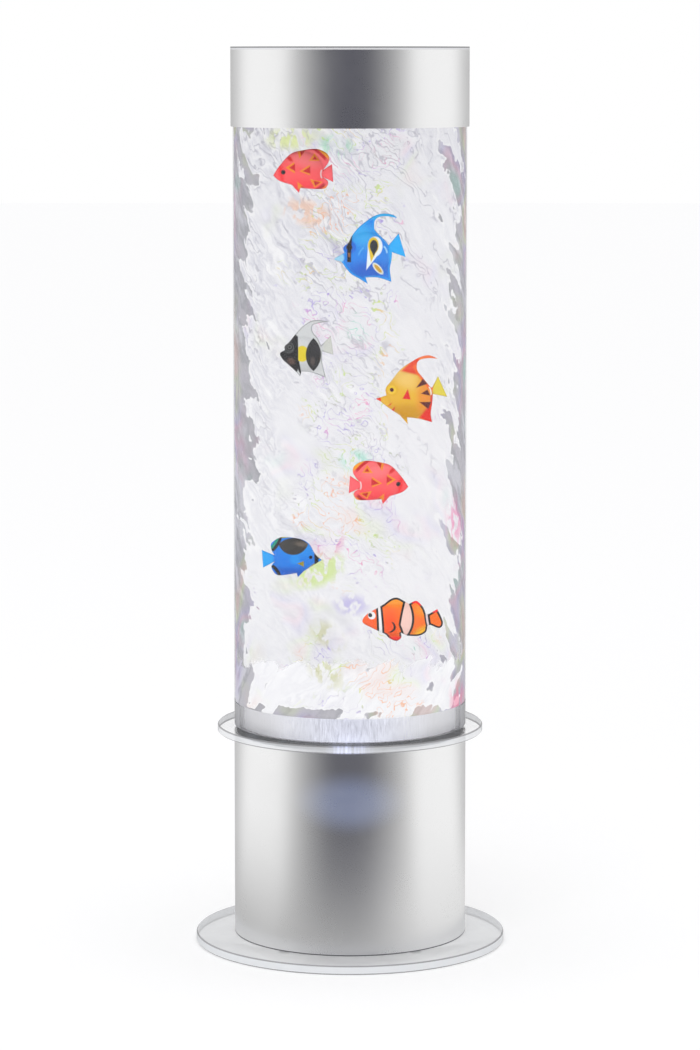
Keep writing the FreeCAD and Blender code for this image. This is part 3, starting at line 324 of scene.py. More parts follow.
def relief(tree, shader, height, depth):
    """Bumps a shader's normal by a height mask; depth is in metres."""
    bump = add(tree, "Bump", {"Height": height, "Distance": depth, "Strength": 1.0})
    feed(tree, shader, {"Normal": bump.outputs[0]})


def moulded(name, colour, rough=0.45, speckle=0.06, cast_scale=1600.0, **plain):
    """Moulded plastic or rubber: a faint speckle in colour, spark-eroded grain and smudged gloss."""
    made, tree, shader = new_finish(name, **plain)
    mask = use(tree, GRAIN, {"Scale": cast_scale})["Grain"]
    traces = use(tree, HANDLING)
    dark = tuple(part * (1 - 2 * speckle) for part in colour[:3]) + (1,)
    shade = over(tree, mask, dark, colour)
    shade = over(tree, times(tree, traces["Dust"], 0.25), shade, screen(190, 188, 184))
    sheen = plus(tree, times(tree, traces["Smudge"], 0.10), rough - 0.05)
    feed(tree, shader, {"Base Color": shade, "Roughness": sheen})
    relief(tree, shader, mask, 0.00006)
    return made


def metal(name, colour, rough=0.3, stretch=(1.0, 1.0, 1.0), scale=2200.0, depth=0.00001, contrast=1.0):
    """Bare or plated metal with its working marks."""
    made, tree, shader = new_finish(name, Metallic=1.0)
    mask = use(tree, GRAIN, {"Scale": scale, "Stretch": stretch, "Contrast": contrast})["Grain"]
    traces = use(tree, HANDLING)
    dark = tuple(part * 0.9 for part in colour[:3]) + (1,)
    gloss = plus(tree, times(tree, mask, 0.06), rough - 0.03)
    gloss = plus(tree, gloss, times(tree, traces["Smudge"], 0.03))
    feed(tree, shader, {"Base Color": over(tree, mask, dark, colour), "Roughness": gloss})
    relief(tree, shader, mask, depth)
    return made, tree, shader


def clear_disc(name, face_alpha, rim_alpha, glow):
    """A clear machined acrylic disc: see-through faces, a fuller rim, dark lines of painted shade at its cut
    corners and, with glow, a painted bluish glow at its front.
    """
    made, tree, shader = new_finish(name, Ior=1.49, Specular_IOR_Level=0.5)
    traces = use(tree, HANDLING)
    normal = normal_of(tree)
    up = figure(tree, "ABSOLUTE", axis(tree, normal, "Z"))
    rim = between(tree, up, 0.1, 0.3, 1.0, 0.0)
    # painted shade: the dark lines where the faces turn into the rim stand for how clear acrylic looks at its
    # cut corners
    corner = times(tree, between(tree, up, 0.2, 0.5), between(tree, up, 0.8, 0.95, 1.0, 0.0))
    colour = over(tree, rim, screen(244, 245, 247), screen(228, 230, 233))
    colour = over(tree, corner, colour, screen(150, 150, 152))
    alpha = plus(tree, times(tree, rim, rim_alpha - face_alpha), face_alpha)
    alpha = plus(tree, alpha, times(tree, traces["Smudge"], 0.04))
    alpha = figure(tree, "MAXIMUM", alpha, times(tree, corner, 0.85))
    feed(tree, shader, {"Base Color": colour, "Roughness": plus(tree, times(tree, rim, 0.2), 0.12),
                        "Alpha": alpha})
    # painted light: on the flange, a streaked bluish glow on the front of the rim, near its middle
    if glow:
        at = scaled(tree, object_place(tree), TO_MM)
        parts = add(tree, "SeparateXYZ", {0: at}).outputs
        front = between(tree, parts["Y"], -70.0, -60.0, 1.0, 0.0)
        near = between(tree, figure(tree, "ABSOLUTE", parts["X"]), 4.0, 18.0, 1.0, 0.0)
        streaks = use(tree, GRAIN, {"Scale": 420.0, "Stretch": (1.0, 0.1, 0.1), "Contrast": 3.0})["Grain"]
        lit = times(tree, times(tree, front, near), streaks)
        feed(tree, shader, {"Emission Color": over(tree, lit, (0, 0, 0, 1), (0.5, 0.55, 0.85, 1)),
                            "Emission Strength": 1.0})
    return made


def tube_acrylic():
    """The clear tube wall: nearly invisible face on; edge on it shows the water, or its foot's collar, as
    painted shade that darkens towards its outline.
    """
    made, tree, shader = new_finish("tube_acrylic", Ior=1.49, Roughness=0.08, Specular_IOR_Level=0.25)
    edge = add(tree, "LayerWeight", {"Blend": 0.5}).outputs["Facing"]
    level = axis(tree, object_place(tree), "Z")
    foot = between(tree, level, COLLAR_TOP - 0.3 * MM, COLLAR_TOP + 0.3 * MM, 1.0, 0.0)
    wall = times(tree, between(tree, edge, 0.80, 1.0), 0.5)
    band = times(tree, between(tree, edge, 0.66, 0.74), 0.92)
    traces = use(tree, HANDLING, {"Smudge Size": 18.0})
    thin = plus(tree, times(tree, traces["Smudge"], 0.012), 0.01)
    alpha = figure(tree, "MAXIMUM", plus(tree, wall, thin), times(tree, band, foot))
    # painted shade: the wall's colour darkens as it turns edge on, over the water and, below the collar's top,
    # over the collar
    shade = ramp(tree, edge, (0.7, screen(230, 232, 238)), (0.97, screen(160, 162, 168)))
    collar = ramp(tree, edge, (0.66, screen(176, 176, 180)), (0.97, screen(146, 146, 150)))
    feed(tree, shader, {"Base Color": over(tree, foot, shade, collar), "Alpha": alpha})
    return made


def satin_aluminium(name, glow):
    """Bead-blasted, clear-anodised sheet; on the base, a painted bluish glow on its front stands for light that
    leaks under the flange, and a painted dark line at its foot stands for the shadow where it meets the plate.
    """
    made, tree, shader = metal(name, screen(246, 246, 246), rough=0.28, scale=2600.0, depth=0.000006)
    if glow:
        # painted light: a soft bluish glow in an oval on the front, near the top
        at = scaled(tree, object_place(tree), TO_MM)
        spot = use(tree, OVAL, {"Place": at, "Centre": (0.0, 0.0, 108.0), "Half Long": 26.0,
                                "Half Tall": 15.0, "Soft": 9.0})["Inside"]
        front = between(tree, axis(tree, at, "Y"), -40.0, -20.0, 1.0, 0.0)
        lit = times(tree, spot, front)
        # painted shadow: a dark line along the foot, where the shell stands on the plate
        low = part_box("base_shell")[0].z
        level = axis(tree, object_place(tree), "Z")
        cut = between(tree, level, low + 0.5 * MM, low + 0.8 * MM, 1.0, 0.0)
        plain = shader.inputs["Base Color"].links[0].from_socket
        feed(tree, shader, {"Base Color": over(tree, cut, plain, screen(112, 112, 116)),
                            "Emission Color": over(tree, lit, (0, 0, 0, 1), (0.083, 0.109, 0.19, 1)),
                            "Emission Strength": 1.0})
    return made


def lid_plate():
    """The cap's lid: a pale satin sheet whose top corner is a thin dark line."""
    made, tree, shader = new_finish("lid_plate", Metallic=0.2)
    mask = use(tree, GRAIN, {"Scale": 2600.0})["Grain"]
    level = axis(tree, object_place(tree), "Z")
    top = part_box("cap_lid")[1].z
    line = between(tree, level, top - 0.8 * MM, top - 0.6 * MM)
    side = between(tree, axis(tree, normal_of(tree), "Z"), 0.3, 0.7, 1.0, 0.0)
    pale = over(tree, mask, screen(214, 214, 216), screen(226, 226, 228))
    feed(tree, shader, {"Base Color": over(tree, times(tree, line, side), pale, screen(92, 92, 96)),
                        "Roughness": plus(tree, times(tree, mask, 0.08), 0.32)})
    relief(tree, shader, mask, 0.000006)
    return made


def silver_collar(name):
    """The silvered band in the tube's foot, brushed upright, with a painted bluish glow at its front for the
    light's sparkle.
    """
    made, tree, shader = metal(name, screen(238, 238, 242), rough=0.44, stretch=(1.0, 1.0, 0.05), scale=900.0,
                               depth=0.00002, contrast=1.6)
    # painted light: a streaked bluish glow on the front, strongest near the middle
    at = scaled(tree, object_place(tree), TO_MM)
    parts = add(tree, "SeparateXYZ", {0: at}).outputs
    front = between(tree, parts["Y"], -60.0, -40.0, 1.0, 0.0)
    near = between(tree, figure(tree, "ABSOLUTE", parts["X"]), 10.0, 62.0, 1.0, 0.0)
    streaks = use(tree, GRAIN, {"Scale": 1300.0, "Stretch": (1.0, 1.0, 0.12), "Contrast": 2.4})["Grain"]
    sparkle = plus(tree, times(tree, streaks, 0.7), 0.5)
    lit = times(tree, times(tree, front, near), sparkle)
    feed(tree, shader, {"Emission Color": over(tree, lit, (0, 0, 0, 1), (0.57, 0.59, 0.68, 1)),
                        "Emission Strength": 1.0})
    return made


def glowing(name, colour, glow, strength, rough=0.35):
    """A lit translucent piece, a little uneven as its lamps sit below it."""
    made, tree, shader = new_finish(name, Roughness=rough, Emission_Strength=strength)
    mask = use(tree, GRAIN, {"Scale": 60.0})["Grain"]
    fine = use(tree, GRAIN, {"Scale": 1800.0})["Grain"]
    feed(tree, shader, {"Base Color": colour, "Emission Color": over(tree, mask, glow, colour)})
    relief(tree, shader, fine, 0.00003)
    return made


def circuit_board():
    """Green solder mask over etched tracks."""
    made, tree, shader = new_finish("circuit_board", Roughness=0.38)
    at = object_place(tree)
    tracks = add(tree, "TexBrick", {"Vector": at, "Scale": 300.0, "Mortar Size": 0.03, "Color1": (0, 0, 0, 1),
                                    "Color2": (0, 0, 0, 1), "Mortar": (1, 1, 1, 1)}).outputs["Fac"]
    colour = over(tree, tracks, screen(24, 92, 58), screen(60, 140, 92))
    feed(tree, shader, {"Base Color": colour})
    relief(tree, shader, tracks, 0.00004)
    return made


def wound_copper():
    """Enamelled copper wire laid turn beside turn."""
    made, tree, shader = new_finish("wound_copper", Metallic=1.0, Roughness=0.32)
    turns = add(tree, "TexWave", {"Vector": object_place(tree), "Scale": 260.0, "Distortion": 0.4},
                wave_type="BANDS", bands_direction="X").outputs["Fac"]
    feed(tree, shader, {"Base Color": ramp(tree, turns, (0.0, screen(96, 44, 22)),
                                           (1.0, screen(206, 122, 74)))})
    relief(tree, shader, turns, 0.0002)
    return made


def porous_stone():
    """Pressed grit of the air stone, with open pores."""
    made, tree, shader = new_finish("porous_stone", Roughness=0.92)
    pores = add(tree, "TexVoronoi", {"Vector": object_place(tree), "Scale": 700.0}).outputs["Distance"]
    feed(tree, shader, {"Base Color": ramp(tree, pores, (0.0, screen(70, 88, 112)),
                                           (0.5, screen(150, 164, 184)))})
    relief(tree, shader, pores, 0.0006)
    return made


FINISHES = {
    "satin_aluminium": satin_aluminium("satin_aluminium", False),
    "cap_plate": lid_plate(),
    "silver_collar": silver_collar("silver_collar"),
    "milky_acrylic": glowing("milky_acrylic", screen(232, 236, 244), screen(205, 215, 246), 0.6),
    "white_moulding": moulded("white_moulding", screen(232, 232, 228)),
    "black_moulding": moulded("black_moulding", screen(38, 38, 40), rough=0.5),
    "push_button": moulded("push_button", screen(226, 228, 232), rough=0.3, Coat_Weight=0.3),
    "steel_fastener": metal("steel_fastener", screen(205, 205, 208), rough=0.26, scale=3000.0)[0],
    "pillar_metal": metal("pillar_metal", screen(196, 198, 202), rough=0.38, stretch=(1.0, 1.0, 8.0))[0],
    "circuit_board": circuit_board(),
    "board_part": moulded("board_part", screen(30, 31, 34), rough=0.42),
    "led_package": glowing("led_package", screen(244, 246, 250), screen(150, 175, 255), 2.0),
    "rubber_part": moulded("rubber_part", screen(34, 34, 36), rough=0.8, speckle=0.1),
    "clear_hose": moulded("clear_hose", screen(214, 220, 222), rough=0.2, Coat_Weight=0.4),
    "porous_stone": porous_stone(),
    "copper_winding": wound_copper(),
    "iron_core": metal("iron_core", screen(120, 122, 128), rough=0.5, stretch=(1.0, 14.0, 1.0), scale=500.0,
                       depth=0.00008)[0],
    "lead_insulation": moulded("lead_insulation", screen(176, 34, 30), rough=0.4),
}
PAINTED_GLOW_SHELL = satin_aluminium("satin_aluminium_painted_glow", True)
TUBE_WALL = tube_acrylic()
FLANGE_CLEAR = clear_disc("flange_acrylic", 0.16, 0.62, True)
PLATE_CLEAR = clear_disc("plate_acrylic", 0.55, 0.85, False)


def dress_nodes():
    """Gives every carried-over piece its finish by the record's slot, with a few finishes of their own."""
    own = {"base_shell": PAINTED_GLOW_SHELL, "water_tube": TUBE_WALL, "flange_disc": FLANGE_CLEAR,
           "base_plate": PLATE_CLEAR, "tube_floor": FINISHES["silver_collar"]}
    slots = {row["node"]: row["material_slot"] for row in frame["record"]["subparts"]}
    for name, thing in NODES.items():
        finish = own.get(name) or FINISHES.get(slots.get(name))
        if finish:
            thing.data.materials.clear()
            thing.data.materials.append(finish)


# ---------------------------------------------------------------- the fish
# Each kind faces -X. "oval" is the body's centre and half sizes, and "outline" its fins, snout and tail, as
# shares of its length and height from its middle, as in the model. A third number of 1 marks a corner.
KINDS = {
    "coral": {"size": (39.2, 28.6, 10.0), "oval": (-0.02, 0.03, 0.36, 0.42), "outline": [
        (-0.5, -0.1, 1), (-0.4, 0.11), (-0.21, 0.39), (0.02, 0.48), (0.24, 0.5), (0.4, 0.39), (0.43, 0.23),
        (0.33, 0.02, 1), (0.48, 0.16, 1), (0.5, -0.25, 1), (0.33, -0.14, 1), (0.41, -0.23), (0.4, -0.34),
        (0.31, -0.41), (-0.05, -0.39, 1), (-0.07, -0.5, 1), (-0.19, -0.32, 1), (-0.4, -0.22)]},
    "azure": {"size": (46.6, 45.9, 10.0), "oval": (-0.04, -0.08, 0.32, 0.32), "outline": [
        (-0.5, -0.15), (-0.4, -0.08), (-0.36, -0.06, 1), (-0.37, 0.02), (-0.3, 0.09), (-0.26, 0.17),
        (-0.17, 0.29), (-0.04, 0.4), (0.07, 0.47), (0.2, 0.5), (0.32, 0.48), (0.37, 0.44), (0.24, 0.46),
        (0.13, 0.45), (0.07, 0.4), (0.06, 0.32), (0.08, 0.25), (0.22, 0.11), (0.26, 0.05, 1), (0.4, 0.22, 1),
        (0.5, -0.12, 1), (0.31, -0.05, 1), (0.3, -0.17), (0.28, -0.29), (0.3, -0.47, 1), (0.11, -0.41),
        (-0.06, -0.41, 1), (-0.03, -0.5, 1), (-0.14, -0.43), (-0.26, -0.36), (-0.34, -0.27), (-0.4, -0.19)]},
    "banner": {"size": (35.4, 38.2, 9.0), "oval": (-0.08, -0.09, 0.35, 0.31), "outline": [
        (-0.5, -0.08), (-0.41, -0.02, 1), (-0.41, 0.05), (-0.32, 0.13), (-0.18, 0.29), (-0.05, 0.41),
        (0.1, 0.49), (0.25, 0.5), (0.43, 0.47, 1), (0.29, 0.46), (0.13, 0.42), (0.1, 0.35), (0.13, 0.27),
        (0.21, 0.18), (0.27, 0.06, 1), (0.45, 0.23, 1), (0.5, -0.1, 1), (0.29, -0.04, 1), (0.29, -0.23),
        (0.36, -0.5, 1), (0.1, -0.41), (-0.1, -0.39, 1), (-0.12, -0.48, 1), (-0.23, -0.37, 1),
        (-0.35, -0.27), (-0.45, -0.18)]},
    "amber": {"size": (47.6, 46.0, 10.0), "oval": (-0.02, -0.06, 0.31, 0.34), "outline": [
        (-0.5, -0.13, 1), (-0.35, -0.08, 1), (-0.36, 0.02), (-0.29, 0.12), (-0.15, 0.3), (0.02, 0.42),
        (0.13, 0.48), (0.25, 0.5), (0.37, 0.45, 1), (0.25, 0.46), (0.13, 0.44), (0.08, 0.39), (0.08, 0.29),
        (0.15, 0.19), (0.27, 0.04), (0.29, 0.04, 1), (0.37, 0.2, 1), (0.5, -0.1, 1), (0.3, -0.06, 1),
        (0.29, -0.19), (0.27, -0.35), (0.29, -0.47, 1), (0.11, -0.42), (-0.06, -0.4, 1), (-0.05, -0.5, 1),
        (-0.16, -0.37, 1), (-0.32, -0.26), (-0.43, -0.17)]},
    "saddle": {"size": (39.7, 26.8, 10.0), "oval": (-0.03, 0.02, 0.36, 0.42), "outline": [
        (-0.5, -0.07, 1), (-0.4, 0.06), (-0.29, 0.33), (-0.15, 0.45), (0.07, 0.5), (0.2, 0.49), (0.34, 0.35),
        (0.34, 0.18), (0.29, 0.05, 1), (0.5, 0.18, 1), (0.48, -0.26, 1), (0.29, -0.11, 1), (0.34, -0.21),
        (0.32, -0.33), (0.22, -0.45), (-0.08, -0.4, 1), (-0.1, -0.5, 1), (-0.2, -0.35, 1), (-0.35, -0.21)]},
    "clown": {"size": (53.4, 28.9, 10.0), "oval": (-0.07, -0.01, 0.4, 0.36), "outline": [
        (-0.5, -0.06), (-0.44, 0.13), (-0.31, 0.27), (-0.23, 0.36, 1), (-0.14, 0.48), (-0.06, 0.5),
        (0.03, 0.41, 1), (0.08, 0.36, 1), (0.17, 0.43), (0.25, 0.29), (0.29, 0.11, 1), (0.33, 0.13, 1),
        (0.43, 0.24, 1), (0.5, -0.06), (0.46, -0.2), (0.35, -0.13, 1), (0.31, -0.15), (0.29, -0.29),
        (0.2, -0.38), (0.06, -0.38, 1), (-0.02, -0.31, 1), (-0.02, -0.43), (-0.08, -0.5), (-0.17, -0.43),
        (-0.22, -0.34), (-0.36, -0.22)]},
}
# each kind's eye: its centre and its half size, in millimetres
EYES = {"coral": (-13.0, -0.7, 1.5), "azure": (-13.5, 1.0, 2.0), "banner": (-11.2, 1.5, 2.7),
        "amber": (-13.1, 0.3, 3.4), "saddle": (-12.5, 0.4, 1.3), "clown": (-20.4, 2.9, 2.3)}
# the model's fish, its kind, whether it faces +X, and its slot
FISH = [("upper_red", "coral", False, "red_fish"), ("blue_angel", "azure", False, "blue_fish"),
        ("banner_fish", "banner", False, "banded_fish"), ("yellow_angel", "amber", False, "yellow_fish"),
        ("lower_red", "coral", True, "red_fish"), ("blue_saddle", "saddle", True, "blue_fish"),
        ("clownfish", "clown", False, "orange_fish")]
SKIN_STEP = 0.62      # spacing of the points across a fish's side, in millimetres
FIN_HALF = 0.8        # half the fins' thickness


def smooth_loop(points, step=0.5):
    """A closed line through points (x, z, corner), rounded except at the corners, as evenly spaced places."""
    count = len(points)
    places = []
    for index in range(count):
        before, start, end, after = (points[(index + turn) % count] for turn in (-1, 0, 1, 2))
        here, there = Vector(start[:2]), Vector(end[:2])
        leave = (there - Vector(before[:2])) / 2 if len(start) == 2 else (there - here) / 2
        arrive = (Vector(after[:2]) - here) / 2 if len(end) == 2 else (there - here) / 2
        pieces = max(2, round((there - here).length / step))
        for piece in range(pieces):
            t = piece / pieces
            places.append(here * (2 * t ** 3 - 3 * t ** 2 + 1) + leave * (t ** 3 - 2 * t ** 2 + t)
                          + there * (3 * t ** 2 - 2 * t ** 3) + arrive * (t ** 3 - t ** 2))
    return places


def edge_finder(loop):
    """A search tree of the outline, to tell how far a place lies from it."""
    tree = kdtree.KDTree(len(loop))
    for index, place in enumerate(loop):
        tree.insert((*place, 0.0), index)
    tree.balance()
    return lambda place: tree.find((*place, 0.0))[2]


def fish_mesh(kind):
    """A moulded fish: a domed body that runs out into thin ribbed fins, with raised eyes, in metres."""
    (length, height, thick), (across, up, half_long, half_tall) = KINDS[kind]["size"], KINDS[kind]["oval"]
    outline = [(p[0] * length, p[1] * height) + tuple(p[2:]) for p in KINDS[kind]["outline"]]
    loop = smooth_loop(outline, 0.6)
    margin_at = edge_finder(smooth_loop(outline, 0.1))
    middle = Vector((across * length, up * height))
    reach = Vector((half_long * length, half_tall * height))
    eye_at, eye_radius = Vector(EYES[kind][:2]), EYES[kind][2]
    inner = []
    rows = round(height / SKIN_STEP)
    columns = round(length / SKIN_STEP)
    for row in range(rows + 1):
        for column in range(columns + 1):
            shift = 0.5 * (row % 2)
            place = Vector(((column + shift) * SKIN_STEP - length / 2, row * SKIN_STEP - height / 2))
            if margin_at(place) > 0.42 * SKIN_STEP:
                inner.append(place)
    count = len(loop)
    flat, _, faces, *_ = delaunay_2d_cdt(loop + inner, [], [list(range(count))], 1, 1e-5)
    rim = [0.0 if index < count else margin_at(place) for index, place in enumerate(flat)]
    verts, tops, backs = [], [], []
    for place, margin in zip(flat, rim):
        off = place - middle
        share = (off.x / reach.x) ** 2 + (off.y / reach.y) ** 2
        dome = thick / 2 * math.sqrt(max(0.0, 1 - share))
        ribs = 0.07 * math.cos(34 * math.atan2(off.y, off.x)) * min(1.0, max(0.0, share - 1.0) * 2.0)
        fin = (FIN_HALF - 0.12) * math.sqrt(min(1.0, margin / 1.1))
        depth = math.hypot(fin, dome) if dome else fin
        depth = min(depth, thick / 2)
        near_eye = (place - eye_at).length / eye_radius
        if near_eye < 1:
            depth += 0.55 * math.sqrt(1 - near_eye ** 2)
        if margin > 0.35:
            depth += ribs
        depth = min(depth, thick / 2)
        tops.append(len(verts))
        verts.append((place.x * MM, -depth * MM, place.y * MM))
        if margin < 1e-4:
            verts[-1] = (place.x * MM, 0.0, place.y * MM)
            backs.append(tops[-1])
        else:
            backs.append(len(verts))
            verts.append((place.x * MM, depth * MM, place.y * MM))
    solid = []
    for face in faces:
        a, b, c = (flat[index] for index in face)
        turn = (b - a).cross(c - a)
        front = [tops[index] for index in face]
        back = [backs[index] for index in face]
        solid.append(front if turn > 0 else front[::-1])
        solid.append(back[::-1] if turn > 0 else back)
    mesh = bpy.data.meshes.new(kind + "_fish")
    mesh.from_pydata(verts, [], [face for face in solid if len(set(face)) == 3])
    margins = mesh.attributes.new("rim", "FLOAT", "POINT")
    for index, margin in enumerate(rim):
        margins.data[tops[index]].value = margin
        margins.data[backs[index]].value = margin
    mesh.shade_smooth()
    mesh.validate()
    return mesh


class FishPaint:
    """Paint on one kind of fish, mark over mark: millimetres from its middle, and screen colours."""

    def __init__(self, name, colour):
        self.made, self.tree, self.shader = new_finish(name, Coat_Weight=0.35, Coat_Roughness=0.12,
                                                       Specular_IOR_Level=0.4)
        self.place = scaled(self.tree, object_place(self.tree), TO_MM)
        self.colour = screen(*colour)

    def lay(self, mask, colour, amount=1.0):
        """Lays a colour over a mask."""
        if amount != 1.0:
            mask = times(self.tree, mask, amount)
        self.colour = over(self.tree, mask, self.colour, screen(*colour))

    def spot(self, colour, *place, amount=1.0):
        """Lays a colour on an oval."""
        self.lay(self.oval(*place), colour, amount)

    def line(self, colour, *place, amount=1.0):
        """Lays a colour along a line."""
        self.lay(self.stroke(*place)["Line"], colour, amount)

    def patch(self, colour, corners, soft):
        """Lays a colour on a triangle."""
        self.lay(self.wedge(corners, soft), colour)

    def oval(self, x, z, half_long, half_tall, tilt=0.0, soft=0.15):
        """The mask of an oval."""
        return use(self.tree, OVAL, {"Place": self.place, "Centre": (x, 0.0, z), "Half Long": half_long,
                                     "Half Tall": half_tall, "Tilt": math.radians(tilt),
                                     "Soft": soft})["Inside"]

    def wedge(self, corners, soft=0.15):
        """The mask of a triangle."""
        feeds = {name: (x, 0.0, z) for name, (x, z) in zip(("First", "Second", "Third"), corners)}
        return use(self.tree, WEDGE, {"Place": self.place, "Soft": soft, **feeds})["Inside"]

    def stroke(self, start, end, half_wide, bow=0.0, soft=0.15):
        """The masks of a line and of the side that its bow turns away from."""
        return use(self.tree, STROKE, {"Place": self.place, "Start": (start[0], 0.0, start[1]),
                                       "End": (end[0], 0.0, end[1]), "Bow": bow, "Half Wide": half_wide,
                                       "Soft": soft})

    def both(self, *masks):
        """Where all the masks overlap."""
        result = masks[0]
        for mask in masks[1:]:
            result = times(self.tree, result, mask)
        return result

    def rim(self, wide):
        """The mask of a border inside the fish's outline."""
        margin = add(self.tree, "Attribute", attribute_name="rim").outputs["Fac"]
        return between(self.tree, margin, wide, wide + 0.3, 1.0, 0.0)

    def finish(self):
        """Closes the paint with its gloss and its fine moulded grain."""
        mask = use(self.tree, GRAIN, {"Scale": 1500.0})["Grain"]
        gloss = plus(self.tree, times(self.tree, mask, 0.08), 0.30)
        feed(self.tree, self.shader, {"Base Color": self.colour, "Roughness": gloss})
        relief(self.tree, self.shader, mask, 0.00005)
        return self.made


BLACK = (20, 18, 20)
WHITE = (244, 244, 244)


def coral_paint():
    """Red fish with orange-edged dark wedges."""
    paint = FishPaint("coral_paint", (253, 84, 88))
    orange, deep = (246, 140, 24), (206, 8, 24)
    # painted light and shade: the upper body lighter, the lower body darker
    paint.spot((255, 128, 130), 2.0, 8.7, 12.0, 5.5, -8, 4.0, amount=0.7)
    paint.spot((250, 48, 62), -2.0, -9.5, 15.0, 4.0, 0, 3.0, amount=0.6)
    paint.spot((248, 20, 30), -14.2, -1.5, 1.6, 6.5, 8, 1.2, amount=0.9)
    paint.lay(paint.rim(0.7), (244, 44, 54), 0.5)
    paint.spot((226, 24, 24), -9.1, 8.4, 2.8, 1.2, -42, 0.5)
    for corners in ([(-11.5, 2.3), (-5.7, 6.0), (-5.4, -1.4)], [(-2.4, 0.0), (4.4, 4.3), (4.4, -2.7)],
                    [(7.4, 11.8), (10.8, 6.7), (3.7, 6.7)], [(-3.7, 12.8), (1.7, 13.8), (-2.4, 8.1)],
                    [(4.4, -5.1), (12.8, -7.1), (7.4, -10.8)], [(-3.7, -6.8), (1.0, -10.8), (-3.4, -11.8)]):
        paint.patch(orange, corners, 0.3)
    for corners in ([(-9.2, 2.3), (-5.3, 4.9), (-5.2, 0.0)], [(-0.4, 0.0), (4.7, 3.2), (4.7, -1.6)],
                    [(7.4, 9.8), (9.4, 7.5), (5.9, 7.5)], [(-1.9, 12.8), (1.7, 13.8), (-1.4, 9.8)],
                    [(6.8, -6.2), (11.2, -7.4), (7.8, -9.8)], [(-1.4, -9.6), (1.4, -10.8), (-0.8, -12.4)]):
        paint.patch(deep, corners, 0.3)
    back = paint.stroke((9.0, 15.2), (17.2, 6.6), 1.4, 0.9, 0.3)
    paint.lay(back["Line"], (250, 156, 22))
    paint.line(deep, (6.8, 14.6), (15.8, 6.2), 1.0, 0.6, 0.3)
    paint.line((248, 132, 24), (17.0, -5.6), (10.4, -12.8), 1.3, 0.8, 0.3)
    paint.line((184, 6, 20), (15.6, -6.4), (8.6, -12.2), 1.0, 0.7, 0.3)
    paint.spot((255, 98, 106), 15.8, -0.8, 3.6, 9.0, 0, 0.8, amount=0.9)
    paint.line((240, 206, 206), (12.1, 0.9), (12.1, -4.6), 0.45, -0.6, 0.25)
    paint.spot(BLACK, -13.0, -0.7, 1.45, 1.45)
    return paint.finish()


def azure_paint():
    """Blue angelfish with a white-edged drop."""
    paint = FishPaint("azure_paint", (0, 128, 228))
    # painted light and shade: the upper body lighter, the lower body darker
    paint.spot((52, 174, 240), -5.8, 9.6, 8.8, 6.8, -30, 5.0, amount=0.9)
    paint.spot((0, 88, 200), -0.5, -13.6, 12.6, 5.4, 0, 3.5, amount=0.9)
    paint.lay(paint.rim(1.1), (0, 164, 244), 0.55)
    paint.spot((0, 172, 246), 18.0, -0.6, 5.8, 12.6, 0, 1.6)
    paint.spot((40, 172, 236), 10.0, 21.0, 9.5, 3.4, 0, 1.0)
    paint.spot((150, 208, 238), -20.8, -5.8, 4.0, 3.6, 0, 0.6)
    paint.spot((0, 104, 214), -13.2, 1.2, 4.2, 4.2, 0, 0.5)
    paint.line(BLACK, (-12.6, 10.2), (-13.6, -8.6), 1.3, -0.3, 0.4)
    paint.spot((14, 12, 16), -13.5, 1.0, 2.0, 2.0)
    paint.line((150, 96, 60), (-13.5, -2.6), (-13.5, -5.2), 0.6, 0.0, 0.4)
    for colour, body, tip in (
            ((232, 240, 244), (3.3, 1.7, 4.8, 6.4), [(-1.4, 1.0), (7.6, -0.6), (-2.4, -13.6)]),
            ((226, 192, 22), (2.2, 2.4, 3.5, 5.2), [(-1.2, 2.4), (5.4, 0.8), (0.6, -8.6)]),
            ((22, 26, 32), (2.5, 1.9, 2.6, 4.0), [(0.0, 1.2), (5.0, 1.2), (2.4, -4.8)])):
        paint.lay(paint.oval(*body, 0, 0.3), colour)
        paint.patch(colour, tip, 0.3)
    paint.spot((228, 234, 216), 5.2, -12.8, 4.8, 2.0, -49, 0.3)
    paint.spot((206, 158, 20), 5.2, -12.8, 3.6, 1.2, -49, 0.3)
    paint.line((70, 170, 238), (-7.5, -4.1), (-4.1, 0.9), 0.45, 0.5, 0.3)
    paint.line((150, 206, 244), (9.0, 1.8), (11.1, -2.7), 0.5, 0.4, 0.3)
    return paint.finish()


